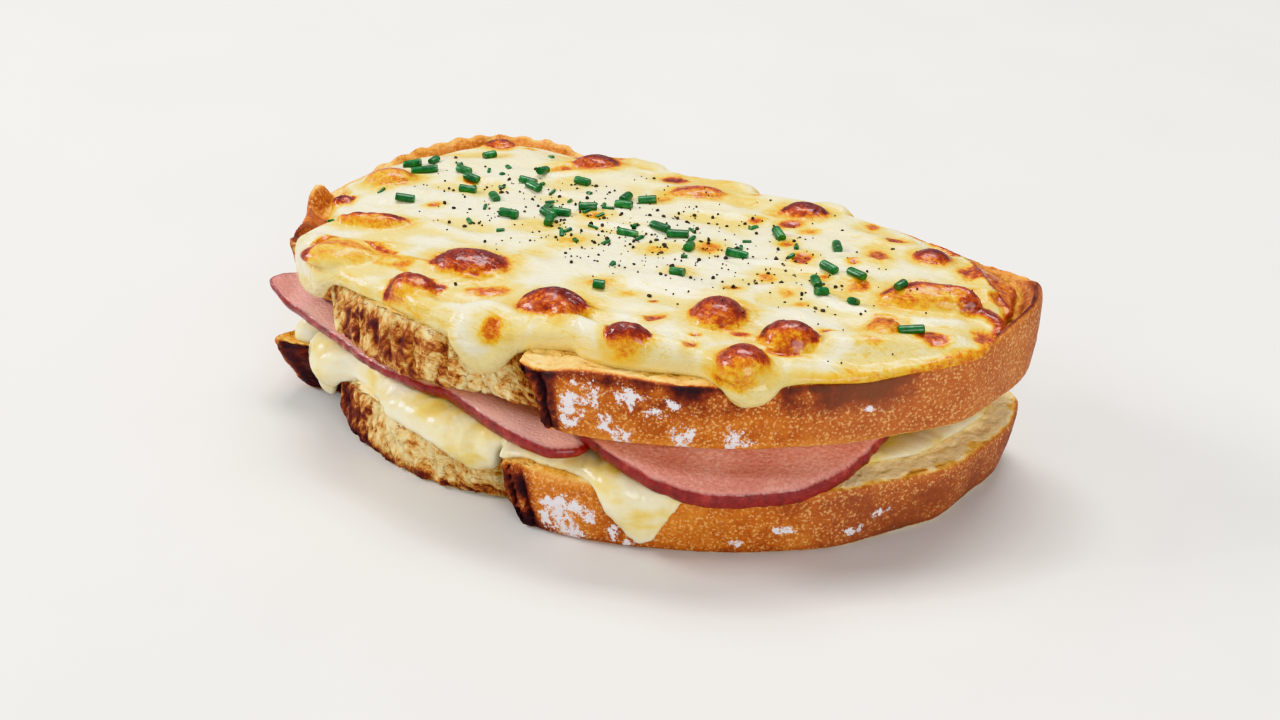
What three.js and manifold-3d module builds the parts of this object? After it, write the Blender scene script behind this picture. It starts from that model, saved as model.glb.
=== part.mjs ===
// A croque monsieur: two slices of country loaf with melted cheese and two slices of ham between
// them, and a browned cheese topping sprinkled with chopped chives. X runs along the slices, Y from
// the loaf's torn front to its flat base, Z is up, and the sandwich rests on its lower slice.
import * as THREE from 'three';
import { mergeVertices } from 'three/addons/utils/BufferGeometryUtils.js';
import Module from 'manifold-3d';

const { degToRad, lerp, radToDeg, seededRandom, smoothstep } = THREE.MathUtils;
const wasm = await Module();
wasm.setup();

// ---- Driving dimensions, in millimetres and degrees ----
const SLICE = 14; // thickness of a slice of bread
const FILLING = 10; // height between the two slices
const CLEAR = 0.3; // air kept between pieces that touch
const HUB = { x: 0, y: -3 }; // the point inside the loaf that its radii are measured from
const COLUMNS = 96; // columns of vertices round the bread and the cheese
// Columns are closer together round the ears and the drips, at these angles
const DENSE = { at: [271, 277, 203, 206, 213, 259, 262, 306, 326], reach: 7, extra: 55 };

// The loaf's crust: a flat base along the back, a domed crust along the front and right
const crust = around([
  [0, 79.6], [8, 83.4], [16, 87], [21, 87.2], [25.5, 83], [30, 76], [39, 65], [52, 52.4], [70, 43.8],
  [90, 41], [112, 45], [126, 53.2], [137, 61.4], [147, 69.3], [156, 72], [170, 73.4], [182, 74],
  [190, 73], [198, 70.6], [209, 67], [262, 46], [277, 44.8], [288, 45.6], [307, 48.7], [317, 51.7],
  [327, 56], [335, 59.8], [343, 65.3], [351, 71.2], [356, 75.8],
]);
// The bloom, where the loaf tore open in the oven, lies behind the crust between two ears
const bloom = around([
  [200, 66], [208, 62.3], [214, 59.7], [222, 55.8], [229, 52.6], [237, 49.4], [246, 45.8],
  [257, 41.4], [264, 39.2], [285, 38.5],
]);
const EAR_STEP = 2.4; // angle in which the crust drops back to the bloom
const EAR_REACH = 14; // angle over which a leaning ear turns its neighbours with it
const CRAG = 1.5; // depth of the crags in the bloom
const RIM_WIDTH = 4.2; // how far in from the edge a raised rim runs out
const WALL_SWELL = 0.5; // how far the wall bulges halfway up
const EDGE = 1.3; // radius of the edges between a slice's wall and its faces

// frontEar and leftEar: angles at the slice's top; the leans turn them further on at its underside.
// flare: how far the left ear sticks out. trim: how much shorter the right end is. undercut: how far
// the right end slants in at its foot. earUndercut: the same at the left ear.
const LOWER = {
  base: 0, frontEar: 270.4, leftEar: 203, frontLean: 6.3, leftLean: -3.5, flare: 8, trim: 2.4,
  undercut: 3.6, earUndercut: 4.5,
  rim: around([[0, 0], [197, 0], [201, 0.8], [206, 0], [268, 0], [274, 0.8], [280, 0]]),
};
const UPPER = {
  base: SLICE + FILLING, frontEar: 276.8, leftEar: 203, frontLean: 6.5, leftLean: -2, flare: 2,
  trim: 0, undercut: 1.5, earUndercut: 4,
  rim: around([
    [0, 1], [8, 3], [15, 4.2], [21, 3.4], [27, 1.8], [36, 1.2], [60, 0.4], [90, 0.6], [112, 0.3],
    [128, 1.2], [138, 3], [152, 2.9], [164, 2.2], [176, 0.8], [183.6, 0.9], [185.8, 4.4],
    [188, 5.6], [190.2, 5.2], [192.6, 1.4], [196, 1.6], [200, 2.4], [203, 1.2], [206, 0.2], [268, 0.1],
    [276, 0.2], [280, -0.7], [285, -0.4], [290, 0.8], [296, 1.3], [302, 1.3], [308, 0.6], [316, 0],
    [345, 0.2],
  ]),
};
const RIGHT_END = { at: 10, reach: 32 }; // where the right end is trimmed and undercut
const FLARE_REACH = 6; // angle over which the left ear flares
const SCALLOP = { from: 132, to: 172, pitch: 4.1, height: 0.9 }; // lumps along the toasted rim

// How far melted cheese reaches past the edge of its slice, measured along the bread's skin
const TOPPING_REACH = around([
  [0, 0], [5, -1.6], [9, -3.4], [14, -5.9], [22, -5.6], [28, -4.4], [38, -1.6], [49, -0.6],
  [54, 4.5], [58, 0.5], [72, -0.8], [84, 7], [89, 0.4], [104, -0.4], [113, 5.5], [119, 0.2],
  [130, -3], [138, -4.8], [150, -5.2], [162, -4.8], [172, -3], [181, -3.4], [184, -6.2],
  [188, -6.8], [192, -6.4], [196, -6.8], [200, -6.2], [202, -5], [203.4, -3.4], [204.3, 0],
  [205.2, 6], [206.6, 9.4], [208.5, 9.4], [211, 8.2], [213.5, 6], [216, 3.2], [219, 0.6],
  [223, -0.6], [227, -1], [231, -1.8], [236, -2], [243, -1.3], [249, -0.6], [253.5, 0.2],
  [256.5, 3], [259, 6.4], [262, 7.6], [266, 6.2], [270.5, 2.6], [273.5, 0.4], [275.5, -3],
  [277.5, -6.6], [281, -8.6], [285, -9], [288.5, -8.6], [292, -6.6], [296, -5.6], [300, -5],
  [304, -4.6], [308, -4.4], [313, -4.5], [318, -4.4], [320.5, -3.6], [322, -1.2], [323.5, 1.6],
  [325.8, 3.2], [328.2, 2.9], [330.5, 1.4], [333, -0.3], [337, -0.7], [346, 0], [353, -0.3],
]);
const FILLING_REACH = around([
  [0, -8], [14, -7], [28, -5], [44, -3], [60, -1.5], [76, 4], [83, 0], [98, -2], [110, 6], [118, 0],
  [136, -2], [150, 1], [162, -1], [172, 2], [180, -1.5], [192, -4], [202, -6], [205, -3.6], [207, 3],
  [209, 7], [211, 7.4], [213.5, 5], [216.5, 0.6], [219.5, -2.2], [224, -2.8], [229, -1.6], [234, -0.2],
  [240, 0.6], [246, 1.2], [251, 2.4], [255.5, 4.8], [259.5, 6], [263.5, 4.6], [267, 0.6], [271, -1.5],
  [276, -3.5], [287, -3.2], [293.5, -2], [298, 3.4], [301, 7], [304, 10], [306.5, 11.6], [308.8, 10.8],
  [311, 8], [314, 3.6], [317, -1.6], [320, -5.4], [325, -8], [340, -9], [352, -8.5],
]);
// Depth of the lower cheese near its edge: a thick rounded band at the left, thin at the right
const FILLING_DEPTH = around([
  [0, 1.6], [20, 1.8], [45, 2.2], [90, 2.8], [135, 3.4], [170, 4.4], [192, 5.1], [208, 5.5], [222, 5.5],
  [236, 5.2], [250, 4.2], [262, 3.2], [276, 2.6], [292, 2.4], [301, 2.2], [309, 1.5], [316, 0.8],
  [330, 0.7], [345, 1.2],
]);
const FILLING_MIDDLE = 2.2; // depth of the lower cheese inside the sandwich
const TOPPING_DEPTH = 3.9;
const HANG_DEPTH = 2.9; // depth of a drip where it hangs down a wall
const APRON = { at: 207, reach: 5, depth: 2.2 }; // the drip at the left ear is so much thicker
const BEND = 2; // radius at which cheese folds over an edge
const HANG_CLEAR = 0.45; // air between a drip and the wall behind it
const UNEVEN = 0.3; // room left for the unevenness of what a slice of ham lies on
const LIE_CLEAR = 0.42; // air under a sheet of cheese or ham that lies on bread or cheese
const ROLL = 4.2; // length of the rounded lip that ends a sheet of cheese
const LIP_EDGE = 0.12; // share of its depth that a lip keeps at its very end
const ROW_GAP = 0.12; // the least distance between two rows of a sheet's underside
const FILLING_SWELLS = { from: 0.4, to: 0.82 }; // shares of the way out in which the filling thickens

// Ham. Both slices lie over the lower cheese, and the front one laps over the left one.
const HAM_LEFT = {
  x: -25, y: -4, thick: 2.6, columns: 48,
  radius: around([
    [0, 36], [27, 37], [52, 42], [84, 44], [116, 45.6], [136, 48.4], [160, 47.8], [181, 49.2],
    [196, 52.2], [205, 55], [216, 47.4], [237, 40.6], [266, 38.4], [280, 38.6], [291, 42.4],
    [297, 46.2], [305.5, 53], [311, 56.8], [315.5, 57.2], [321, 53], [330, 43], [345, 37.5],
  ]),
  swell: around([[0, 0], [270, 0], [286, 0.9], [304, 0.9], [312, 0.2], [318, 0], [340, 0]]),
};
const HAM_FRONT = {
  x: 28, y: -6, thick: 3, columns: 44, radius: () => 38,
  swell: around([[0, 0.3], [20, 0], [250, 0], [270, 0.8], [290, 1.1], [330, 1.1], [350, 0.8]]),
};
const RIM_SWELL = { from: 0.7, to: 0.97 }; // shares of the radius between which a slice thickens
// How far the front slice of ham sags where it sticks out, by the angle round the hub
const HAM_SAG = around([
  [0, 1.4], [20, 0], [288, 0], [295, 1], [302, 2.9], [309, 4.3], [317, 5.3], [325, 5.6], [333, 5.8],
  [341, 5.8], [348, 4.8], [354, 3],
]);
const SAG_INNER = 16; // the ham begins to sag this far in from the bread's edge
const DROOP = { depth: 1.3, from: 300, to: 338, past: 4 }; // past the bread's edge it bends down more
const CURL = { height: 3.2, from: 2, to: 9 }; // the left tip of the ham curls up past the crust

// Browned blisters in the topping: middle, length, width, height and turn
const BLISTERS = [
  [-20.5, -26.3, 16.5, 11.5, 3.6, 22], [4, -32.5, 15.5, 11, 3.8, 20], [33, -19.3, 11.5, 12, 3.8, 25],
  [48.5, -20.3, 11.5, 9, 3.8, 20], [45.5, -32.5, 11, 10.5, 3.4, 30], [23, -35.8, 10, 9, 2, 25],
  [-25.5, -39, 10.5, 8.5, 2.8, 0], [64.5, 8.5, 20, 10, 2.8, 26], [-50, -19.5, 15.5, 6.5, 2.2, 25],
  [-61.5, 0, 12, 8.5, 2.6, 30], [-47, -35.6, 17, 9, 2.1, 20], [-26, 30.5, 11, 8, 2.2, 25],
  [-52.5, 30, 8, 6, 1.8, 30], [26.5, 31.3, 10.5, 6.5, 2, 20], [58.5, 25, 8, 7.5, 2, 20],
  [2, 27.3, 12, 5.5, 1.4, 30], [61.5, -6.5, 8, 7, 1.7, 30], [-64, -13.5, 5.5, 4.5, 1.5, 30],
];
const BLISTER_SIDES = [10, 5];
const BLISTER_ROOT = 0.3; // how deep its underside is, as a share of its dome
const BLISTER_SUNK = 0.35; // share of its height that a blister's widest part lies under the surface

// Chopped chives: length, radius and sides, how far one is sunk, how far apart they lie, and the
// least volume of cheese that holds one; and the ellipse in which they are strewn
const CHIVE = { least: 2.4, most: 4.4, radius: 0.85, sides: 5, sunk: 0.45, apart: 4.4, bite: 0.25 };
const CHIVES = 34;
const CHIVE_FIELD = { x: -6, y: 5, along: 64, across: 21, turn: 4 };
const SEED = 7;

// ---- Helpers ----

// A smooth closed curve through [degrees, value] pairs, which never overshoots them
function around(table) {
  const count = table.length;
  const pair = (i) => {
    const turns = Math.floor(i / count);
    const [angle, value] = table[i - turns * count];
    return [angle + 360 * turns, value];
  };
  const slope = (i) => {
    const [a, b, c] = [pair(i - 1), pair(i), pair(i + 1)];
    const before = (b[1] - a[1]) / (b[0] - a[0]);
    const after = (c[1] - b[1]) / (c[0] - b[0]);
    return before * after > 0 ? (2 * before * after) / (before + after) : 0;
  };
  return (degrees) => {
    const angle = table[0][0] + THREE.MathUtils.euclideanModulo(degrees - table[0][0], 360);
    let i = count - 1;
    while (table[i][0] > angle) i -= 1;
    const [start, end] = [pair(i), pair(i + 1)];
    const span = end[0] - start[0];
    const t = (angle - start[0]) / span;
    const s = 1 - t;
    return (
      start[1] * s * s * (1 + 2 * t) + end[1] * t * t * (1 + 2 * s)
      + span * (slope(i) * s * s * t - slope(i + 1) * t * t * s)
    );
  };
}

// Smooth noise from -1 to 1, the same on every run
function noise(x, y, z) {
  const corner = (i, j, k) => {
    const s = Math.sin(i * 127.1 + j * 311.7 + k * 74.7) * 43758.5453;
    return 2 * (s - Math.floor(s)) - 1;
  };
  const [i, j, k] = [x, y, z].map(Math.floor);
  const [u, v, w] = [x - i, y - j, z - k].map((t) => t * t * (3 - 2 * t));
  const layer = (n) => lerp(
    lerp(corner(i, j, n), corner(i + 1, j, n), u),
    lerp(corner(i, j + 1, n), corner(i + 1, j + 1, n), u),
    v,
  );
  return lerp(layer(k), layer(k + 1), w);
}

// How far one angle is past another, from -180 to 180
function apart(degrees, from) {
  return THREE.MathUtils.euclideanModulo(degrees - from + 180, 360) - 180;
}

// A bump of height 1 at 0 that runs out at -1 and 1
function bell(t) {
  return Math.abs(t) < 1 ? (1 - t * t) ** 2 : 0;
}

// A closed solid from a sphere: place(column, row) says where each vertex goes. Row 0 is the pole
// at the middle of the top and the last row the pole at the middle of the underside.
function moulded(columns, rows, place) {
  const geometry = new THREE.SphereGeometry(1, columns, rows);
  const position = geometry.attributes.position;
  for (let row = 0; row <= rows; row += 1) {
    for (let column = 0; column <= columns; column += 1) {
      const point = place(column % columns, row);
      position.setXYZ(row * (columns + 1) + column, point.x, point.y, point.z);
    }
  }
  return closed(geometry);
}

// The same geometry with only positions, and with the vertices that coincide made one
function closed(geometry) {
  geometry.deleteAttribute('normal');
  geometry.deleteAttribute('uv');
  return mergeVertices(geometry, 1e-4);
}

function toManifold(geometry) {
  return new wasm.Manifold(new wasm.Mesh({
    numProp: 3,
    vertProperties: Float32Array.from(geometry.attributes.position.array),
    triVerts: Uint32Array.from(geometry.index.array),
  }));
}

function fromManifold(solid) {
  const mesh = solid.getMesh();
  const geometry = new THREE.BufferGeometry();
  geometry.setAttribute('position', new THREE.BufferAttribute(mesh.vertProperties, 3));
  geometry.setIndex(new THREE.BufferAttribute(mesh.triVerts, 1));
  return geometry;
}

// ---- The bread ----

// Radius of a slice's wall at an angle: crust, or the bloom behind it between the two ears
function wallRadius(slice, degrees) {
  const torn = smoothstep(degrees, slice.leftEar, slice.leftEar + EAR_STEP)
    * (1 - smoothstep(degrees, slice.frontEar - EAR_STEP, slice.frontEar));
  const flare = slice.flare * bell((degrees - slice.leftEar) / FLARE_REACH);
  const trim = slice.trim * bell(apart(degrees, RIGHT_END.at) / RIGHT_END.reach);
  return lerp(crust(degrees) + flare - trim, bloom(degrees), torn);
}

// How deep the crags are at an angle: full in the bloom, none in the crust
function cragDepth(slice, degrees) {
  return CRAG * smoothstep(degrees, slice.leftEar, slice.leftEar + 2 * EAR_STEP)
    * (1 - smoothstep(degrees, slice.frontEar - 2 * EAR_STEP, slice.frontEar - EAR_STEP));
}

// The angle to which a leaning ear turns a point at a height in its slice
function leaned(slice, degrees, z) {
  const sunk = THREE.MathUtils.clamp(1 - (z - slice.base) / SLICE, 0, 1);
  const front = slice.frontLean * bell((degrees - slice.frontEar) / EAR_REACH);
  const left = slice.leftLean * bell((degrees - slice.leftEar) / EAR_REACH);
  return degrees + (front + left) * sunk;
}

function polarPoint(slice, degrees, radius, z) {
  const angle = degToRad(leaned(slice, degrees, z));
  return new THREE.Vector3(HUB.x + radius * Math.cos(angle), HUB.y + radius * Math.sin(angle), z);
}

// Height of a slice's top face, with its raised and scalloped rim
function topHeight(slice, degrees, inset) {
  const lumps = slice === UPPER && degrees > SCALLOP.from && degrees < SCALLOP.to
    ? SCALLOP.height * Math.abs(Math.sin((Math.PI * degrees) / SCALLOP.pitch)) : 0;
  const raised = 1 - smoothstep(inset, 1, RIM_WIDTH);
  return slice.base + SLICE + (slice.rim(degrees) + lumps) * raised;
}

// The angles of the columns, spaced by the length of the outline and closer where it is dense
function spacedAngles(count) {
  const steps = 3600;
  const sums = [0];
  for (let i = 0; i < steps; i += 1) {
    const degrees = (360 * i) / steps;
    const extra = DENSE.at.reduce((sum, at) => sum + bell((degrees - at) / DENSE.reach), 0);
    sums.push(sums[i] + crust(degrees) + DENSE.extra * Math.min(extra, 1));
  }
  let i = 0;
  return Array.from({ length: count }, (_, column) => {
    while (sums[i + 1] < (sums[steps] * column) / count) i += 1;
    return (360 * i) / steps;
  });
}

const ANGLES = spacedAngles(COLUMNS);

// How far the wall slants in below the top at an angle: at the right end, and under the left ear
function undercutDepth(slice, degrees) {
  return slice.undercut * bell(apart(degrees, RIGHT_END.at) / RIGHT_END.reach)
    + slice.earUndercut * bell(apart(degrees, slice.leftEar) / EAR_REACH);
}

// One slice of bread. grow swells it all over, for cutting the cheese that lies on it.
function breadSlice(slice, grow = 0) {
  // Rows from the middle of the top face, over the edge and down the wall to the underside:
  // reach is a share of the radius, inset a distance in from the wall, up a height in the slice
  const rows = [
    { reach: 0, up: SLICE }, { reach: 0.62, up: SLICE }, { inset: RIM_WIDTH, up: SLICE },
    { inset: 0.7 * EDGE, up: SLICE }, { inset: 0, up: SLICE - EDGE },
    { inset: 0, up: 0.63 * SLICE }, { inset: 0, up: 0.33 * SLICE },
    { inset: 0, up: EDGE }, { inset: 0.85 * EDGE, up: 0 },
    { reach: 0.6, up: 0 }, { reach: 0, up: 0 },
  ];
  return moulded(COLUMNS, rows.length - 1, (column, row) => {
    const degrees = ANGLES[column];
    const { reach, inset = 0, up } = rows[row];
    const edge = wallRadius(slice, degrees);
    const share = up / SLICE;
    const growUp = grow * (2 * share - 1);
    if (reach !== undefined) return polarPoint(slice, degrees, edge * reach, slice.base + up + growUp);
    const growOut = inset < RIM_WIDTH ? grow : -grow;
    const rimUp = topHeight(slice, degrees, inset) - slice.base - SLICE;
    const z = slice.base + up + growUp + rimUp * share ** 3;
    const swell = WALL_SWELL * Math.sin(Math.PI * share);
    const undercut = (1 - share) * undercutDepth(slice, degrees);
    const rough = noise(degrees / 2.2, z / 6, slice.base) + 0.5 * noise(degrees / 1.1, z / 3, slice.base + 9);
    const crag = cragDepth(slice, degrees) * Math.abs(rough) * (inset < RIM_WIDTH ? 1 : 0.3);
    return polarPoint(slice, degrees, edge + growOut - inset + swell - undercut - crag, z);
  });
}

// ---- Melted cheese ----

// A point on the skin of a slice, at a distance from the hub that is measured over the top face
// and then down the wall, and lifted off the skin by a depth
function skinPoint(slice, degrees, along, lift) {
  const edge = wallRadius(slice, degrees) + WALL_SWELL + HANG_CLEAR;
  const past = along - (edge - BEND);
  const turn = THREE.MathUtils.clamp(past / BEND, 0, Math.PI / 2);
  const hang = Math.max(past - (BEND * Math.PI) / 2, 0);
  const radius = Math.min(along, edge - BEND) + BEND * Math.sin(turn) + lift * Math.sin(turn);
  const level = topHeight(slice, degrees, edge - Math.min(along, edge)) + LIE_CLEAR;
  const z = level - BEND * (1 - Math.cos(turn)) - hang + lift * Math.cos(turn);
  return polarPoint(slice, degrees, radius, z);
}

// Depth of the topping, uneven all over, and thinner where it hangs
function toppingDepth(degrees, along) {
  const angle = degToRad(degrees);
  const [x, y] = [along * Math.cos(angle), along * Math.sin(angle)];
  const edge = wallRadius(UPPER, degrees);
  const swirls = 0.7 * noise(x / 17, y / 9, 3) + 0.35 * noise(x / 7, y / 5, 8);
  const hang = HANG_DEPTH + APRON.depth * bell((degrees - APRON.at) / APRON.reach);
  return lerp(TOPPING_DEPTH + swirls, hang, smoothstep(along, edge - BEND, edge + 2 * BEND));
}

// Depth of the cheese between the slices
function fillingDepth(degrees, along) {
  const edge = wallRadius(LOWER, degrees);
  const share = smoothstep(along / crust(degrees), FILLING_SWELLS.from, FILLING_SWELLS.to);
  const atEdge = lerp(FILLING_MIDDLE, FILLING_DEPTH(degrees), share);
  return lerp(atEdge, Math.min(atEdge, HANG_DEPTH), smoothstep(along, edge, edge + 2 * BEND));
}

// A sheet of melted cheese over a slice: reach says how far past the edge it runs, depth how
// thick it is. It ends in a rounded lip.
function meltedSheet(slice, reach, depth) {
  const inner = [0, 0.42, 0.75, 1];
  const outer = [0.35, 0.64, 0.86, 1];
  const under = 5; // rows of the underside, from the lip back to the middle
  const rows = inner.length + outer.length + under;
  return moulded(COLUMNS, rows - 1, (column, row) => {
    const degrees = ANGLES[column];
    const edge = wallRadius(slice, degrees) + WALL_SWELL + HANG_CLEAR;
    const end = edge + reach(degrees);
    const lipStart = Math.min(edge - BEND, end - ROLL);
    if (row < inner.length) {
      const along = inner[row] * lipStart;
      return skinPoint(slice, degrees, along, depth(degrees, along));
    }
    if (row < inner.length + outer.length) {
      const along = lerp(lipStart, end, outer[row - inner.length]);
      const left = Math.min((end - along) / ROLL, 1);
      const lip = Math.sqrt(1 - (1 - left) ** 2);
      return skinPoint(slice, degrees, along, depth(degrees, along) * Math.max(lip, LIP_EDGE));
    }
    const step = row - inner.length - outer.length;
    const bendEnd = edge - BEND + (BEND * Math.PI) / 2;
    const targets = [bendEnd, lerp(edge - BEND, bendEnd, 0.5), edge - BEND, 0.6 * (edge - BEND), 0];
    return skinPoint(slice, degrees, Math.min(targets[step], end - (step + 1) * ROW_GAP), 0);
  });
}

// Height of the topping's upper surface over a point of the plan
function toppingHeight(x, y) {
  const degrees = THREE.MathUtils.euclideanModulo(radToDeg(Math.atan2(y - HUB.y, x - HUB.x)), 360);
  const along = Math.hypot(x - HUB.x, y - HUB.y);
  return skinPoint(UPPER, degrees, along, toppingDepth(degrees, along)).z;
}

function blister([x, y, length, width, height, turn]) {
  const geometry = new THREE.SphereGeometry(1, ...BLISTER_SIDES).rotateX(Math.PI / 2);
  const position = geometry.attributes.position;
  for (let i = 0; i < position.count; i += 1) {
    position.setZ(i, position.getZ(i) * (position.getZ(i) < 0 ? BLISTER_ROOT : 1));
  }
  geometry.scale(length / 2, width / 2, height * (1 + BLISTER_SUNK));
  geometry.rotateZ(degToRad(turn)).translate(x, y, toppingHeight(x, y) - height * BLISTER_SUNK);
  return toManifold(closed(geometry));
}

// Height of the browned surface, blisters included
function dressedHeight(x, y) {
  return BLISTERS.reduce((highest, [bx, by, length, width, height, turn]) => {
    const angle = degToRad(turn);
    const [dx, dy] = [x - bx, y - by];
    const u = (dx * Math.cos(angle) + dy * Math.sin(angle)) / (length / 2);
    const v = (dy * Math.cos(angle) - dx * Math.sin(angle)) / (width / 2);
    const dome = 1 - u * u - v * v;
    const top = toppingHeight(bx, by) - height * BLISTER_SUNK
      + height * (1 + BLISTER_SUNK) * Math.sqrt(Math.max(dome, 0));
    return dome > 0 ? Math.max(highest, top) : highest;
  }, toppingHeight(x, y));
}

// Chives are strewn in an ellipse, denser in its middle, and never closer than their length
function chivePlaces() {
  seededRandom(SEED);
  const places = [];
  const turn = degToRad(CHIVE_FIELD.turn);
  while (places.length < CHIVES) {
    const angle = 2 * Math.PI * seededRandom();
    const out = seededRandom() ** 0.62;
    const u = CHIVE_FIELD.along * out * Math.cos(angle);
    const v = CHIVE_FIELD.across * out * Math.sin(angle);
    const x = CHIVE_FIELD.x + u * Math.cos(turn) - v * Math.sin(turn);
    const y = CHIVE_FIELD.y + u * Math.sin(turn) + v * Math.cos(turn);
    const yaw = Math.PI * seededRandom();
    const length = lerp(CHIVE.least, CHIVE.most, seededRandom());
    const free = places.every((other) => Math.hypot(other.x - x, other.y - y) > CHIVE.apart);
    if (free) places.push({ x, y, yaw, length });
  }
  return places;
}

function chive({ x, y, yaw, length }) {
  const reach = length / 2;
  const [dx, dy] = [reach * Math.cos(yaw), reach * Math.sin(yaw)];
  const [tail, tip] = [dressedHeight(x - dx, y - dy), dressedHeight(x + dx, y + dy)];
  const pitch = Math.atan2(tip - tail, length);
  const middle = Math.max((tail + tip) / 2, dressedHeight(x, y));
  const geometry = new THREE.CylinderGeometry(CHIVE.radius, CHIVE.radius, length, CHIVE.sides);
  geometry.rotateZ(-Math.PI / 2).rotateY(-pitch).rotateZ(yaw);
  geometry.translate(x, y, middle + CHIVE.radius - CHIVE.sunk);
  return toManifold(closed(geometry));
}

// The topping with a chive pressed down into it until it holds
function pressIn(topping, piece) {
  let pressed = piece;
  while (topping.intersect(pressed).volume() < CHIVE.bite) pressed = pressed.translate([0, 0, -0.1]);
  return topping.add(pressed);
}

function toppingGeometry() {
  const sheet = toManifold(meltedSheet(UPPER, TOPPING_REACH, toppingDepth));
  const browned = BLISTERS.map(blister).reduce((sum, next) => sum.add(next), sheet);
  const fitted = browned.subtract(toManifold(breadSlice(UPPER, CLEAR)));
  return fromManifold(chivePlaces().map(chive).reduce(pressIn, fitted));
}

function fillingGeometry() {
  const sheet = toManifold(meltedSheet(LOWER, FILLING_REACH, fillingDepth));
  return fromManifold(sheet.subtract(toManifold(breadSlice(LOWER, CLEAR))));
}

// ---- Ham ----

// The angle, radius and distance in from the lower slice's edge of a point of the plan
function breadPlace(x, y) {
  const degrees = THREE.MathUtils.euclideanModulo(radToDeg(Math.atan2(y - HUB.y, x - HUB.x)), 360);
  const along = Math.hypot(x - HUB.x, y - HUB.y);
  return { degrees, along, inset: wallRadius(LOWER, degrees) - along };
}

function leftHamFloor(x, y) {
  const { degrees, along, inset } = breadPlace(x, y);
  const within = Math.min(along, along + inset);
  const curl = CURL.height * smoothstep(along - crust(degrees), CURL.from, CURL.to);
  return SLICE + 2 * LIE_CLEAR + UNEVEN + fillingDepth(degrees, within) + curl;
}

function frontHamFloor(x, y) {
  const { degrees, inset } = breadPlace(x, y);
  const level = SLICE + 2 * LIE_CLEAR + 2 * UNEVEN + FILLING_MIDDLE + HAM_LEFT.thick + CLEAR;
  const sag = HAM_SAG(degrees) * smoothstep(SAG_INNER - inset, 0, SAG_INNER + 2);
  const half = (DROOP.to - DROOP.from) / 2;
  const droop = DROOP.depth * smoothstep(-inset, 0, DROOP.past)
    * bell(apart(degrees, DROOP.from + half) / (2 * half));
  return level - sag - droop;
}

function hamSlice(ham, floor) {
  // Rows over the top, round the cut edge and back under: a share of the radius, and a share of
  // the thickness
  const rows = [[0, 1], [0.5, 1], [0.8, 1], [0.965, 1], [0.998, 0.72], [0.998, 0.28], [0.965, 0],
    [0.8, 0], [0.5, 0], [0, 0]];
  return moulded(ham.columns, rows.length - 1, (column, row) => {
    const degrees = (360 * column) / ham.columns;
    const [share, up] = rows[row];
    const angle = degToRad(degrees);
    const wavy = ham.radius(degrees) + 0.4 * noise(degrees / 14, ham.x, 2);
    const x = ham.x + share * wavy * Math.cos(angle);
    const y = ham.y + share * wavy * Math.sin(angle);
    const thick = ham.thick + ham.swell(degrees) * smoothstep(share, RIM_SWELL.from, RIM_SWELL.to);
    return new THREE.Vector3(x, y, floor(x, y) + up * thick);
  });
}

// ---- The sandwich ----

function piece(name, geometry, color, roughness) {
  const mesh = new THREE.Mesh(geometry, new THREE.MeshStandardMaterial({ color, roughness, metalness: 0 }));
  mesh.name = name;
  return mesh;
}

const croqueMonsieur = new THREE.Group();
croqueMonsieur.add(
  piece('bottom_bread', breadSlice(LOWER), 0xb8742f, 0.85),
  piece('lower_cheese', fillingGeometry(), 0xf0dc94, 0.4),
  piece('ham_left', hamSlice(HAM_LEFT, leftHamFloor), 0xcf7472, 0.5),
  piece('ham_front', hamSlice(HAM_FRONT, frontHamFloor), 0xd07b76, 0.5),
  piece('top_bread', breadSlice(UPPER), 0xb06a2c, 0.85),
  piece('cheese_topping', toppingGeometry(), 0xf2e6bd, 0.35),
);
const box = new THREE.Box3().setFromObject(croqueMonsieur);
const middle = box.getCenter(new THREE.Vector3());
croqueMonsieur.position.set(-middle.x, -middle.y, -box.min.z);

export default croqueMonsieur;
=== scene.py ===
# %% [markdown]
# # A croque monsieur
# Two slices of a country loaf lie one on the other. Between them are melted cheese and two slices
# of ham, and on top is a thick sheet of browned cheese strewn with chopped chives and pepper.
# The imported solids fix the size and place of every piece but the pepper, which has no solid. Each
# piece here is a finer one that takes its solid's place. The outlines of a loaf, of melted cheese
# and of ham are neither straight nor round, so each is made as a sculptor would: from one primitive
# that a few named curves pull into place, remeshed to an even skin, and then roughened.

# %% The frame and the tools
import math
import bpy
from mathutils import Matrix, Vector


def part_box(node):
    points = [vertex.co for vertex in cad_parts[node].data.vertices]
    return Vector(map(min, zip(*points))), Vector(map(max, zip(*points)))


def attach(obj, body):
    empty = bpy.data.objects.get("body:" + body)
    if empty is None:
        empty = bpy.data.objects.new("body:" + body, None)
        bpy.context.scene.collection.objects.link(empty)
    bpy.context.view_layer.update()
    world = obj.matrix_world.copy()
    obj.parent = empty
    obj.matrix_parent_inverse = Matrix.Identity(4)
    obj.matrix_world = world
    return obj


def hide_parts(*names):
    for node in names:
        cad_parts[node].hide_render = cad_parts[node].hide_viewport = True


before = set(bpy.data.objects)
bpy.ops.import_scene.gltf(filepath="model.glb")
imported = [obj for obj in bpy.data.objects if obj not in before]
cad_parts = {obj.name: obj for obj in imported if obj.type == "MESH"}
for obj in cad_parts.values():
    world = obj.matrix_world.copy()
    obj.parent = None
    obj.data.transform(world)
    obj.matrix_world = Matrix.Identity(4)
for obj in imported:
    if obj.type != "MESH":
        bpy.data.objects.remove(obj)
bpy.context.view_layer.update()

from types import SimpleNamespace

import bpy
import numpy as np
from mathutils import Vector
from mathutils.bvhtree import BVHTree

MM = 0.001
PLAN_MIDDLE = (3.549, -2.951)  # the place in the plan, in mm, of the frame's origin

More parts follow.
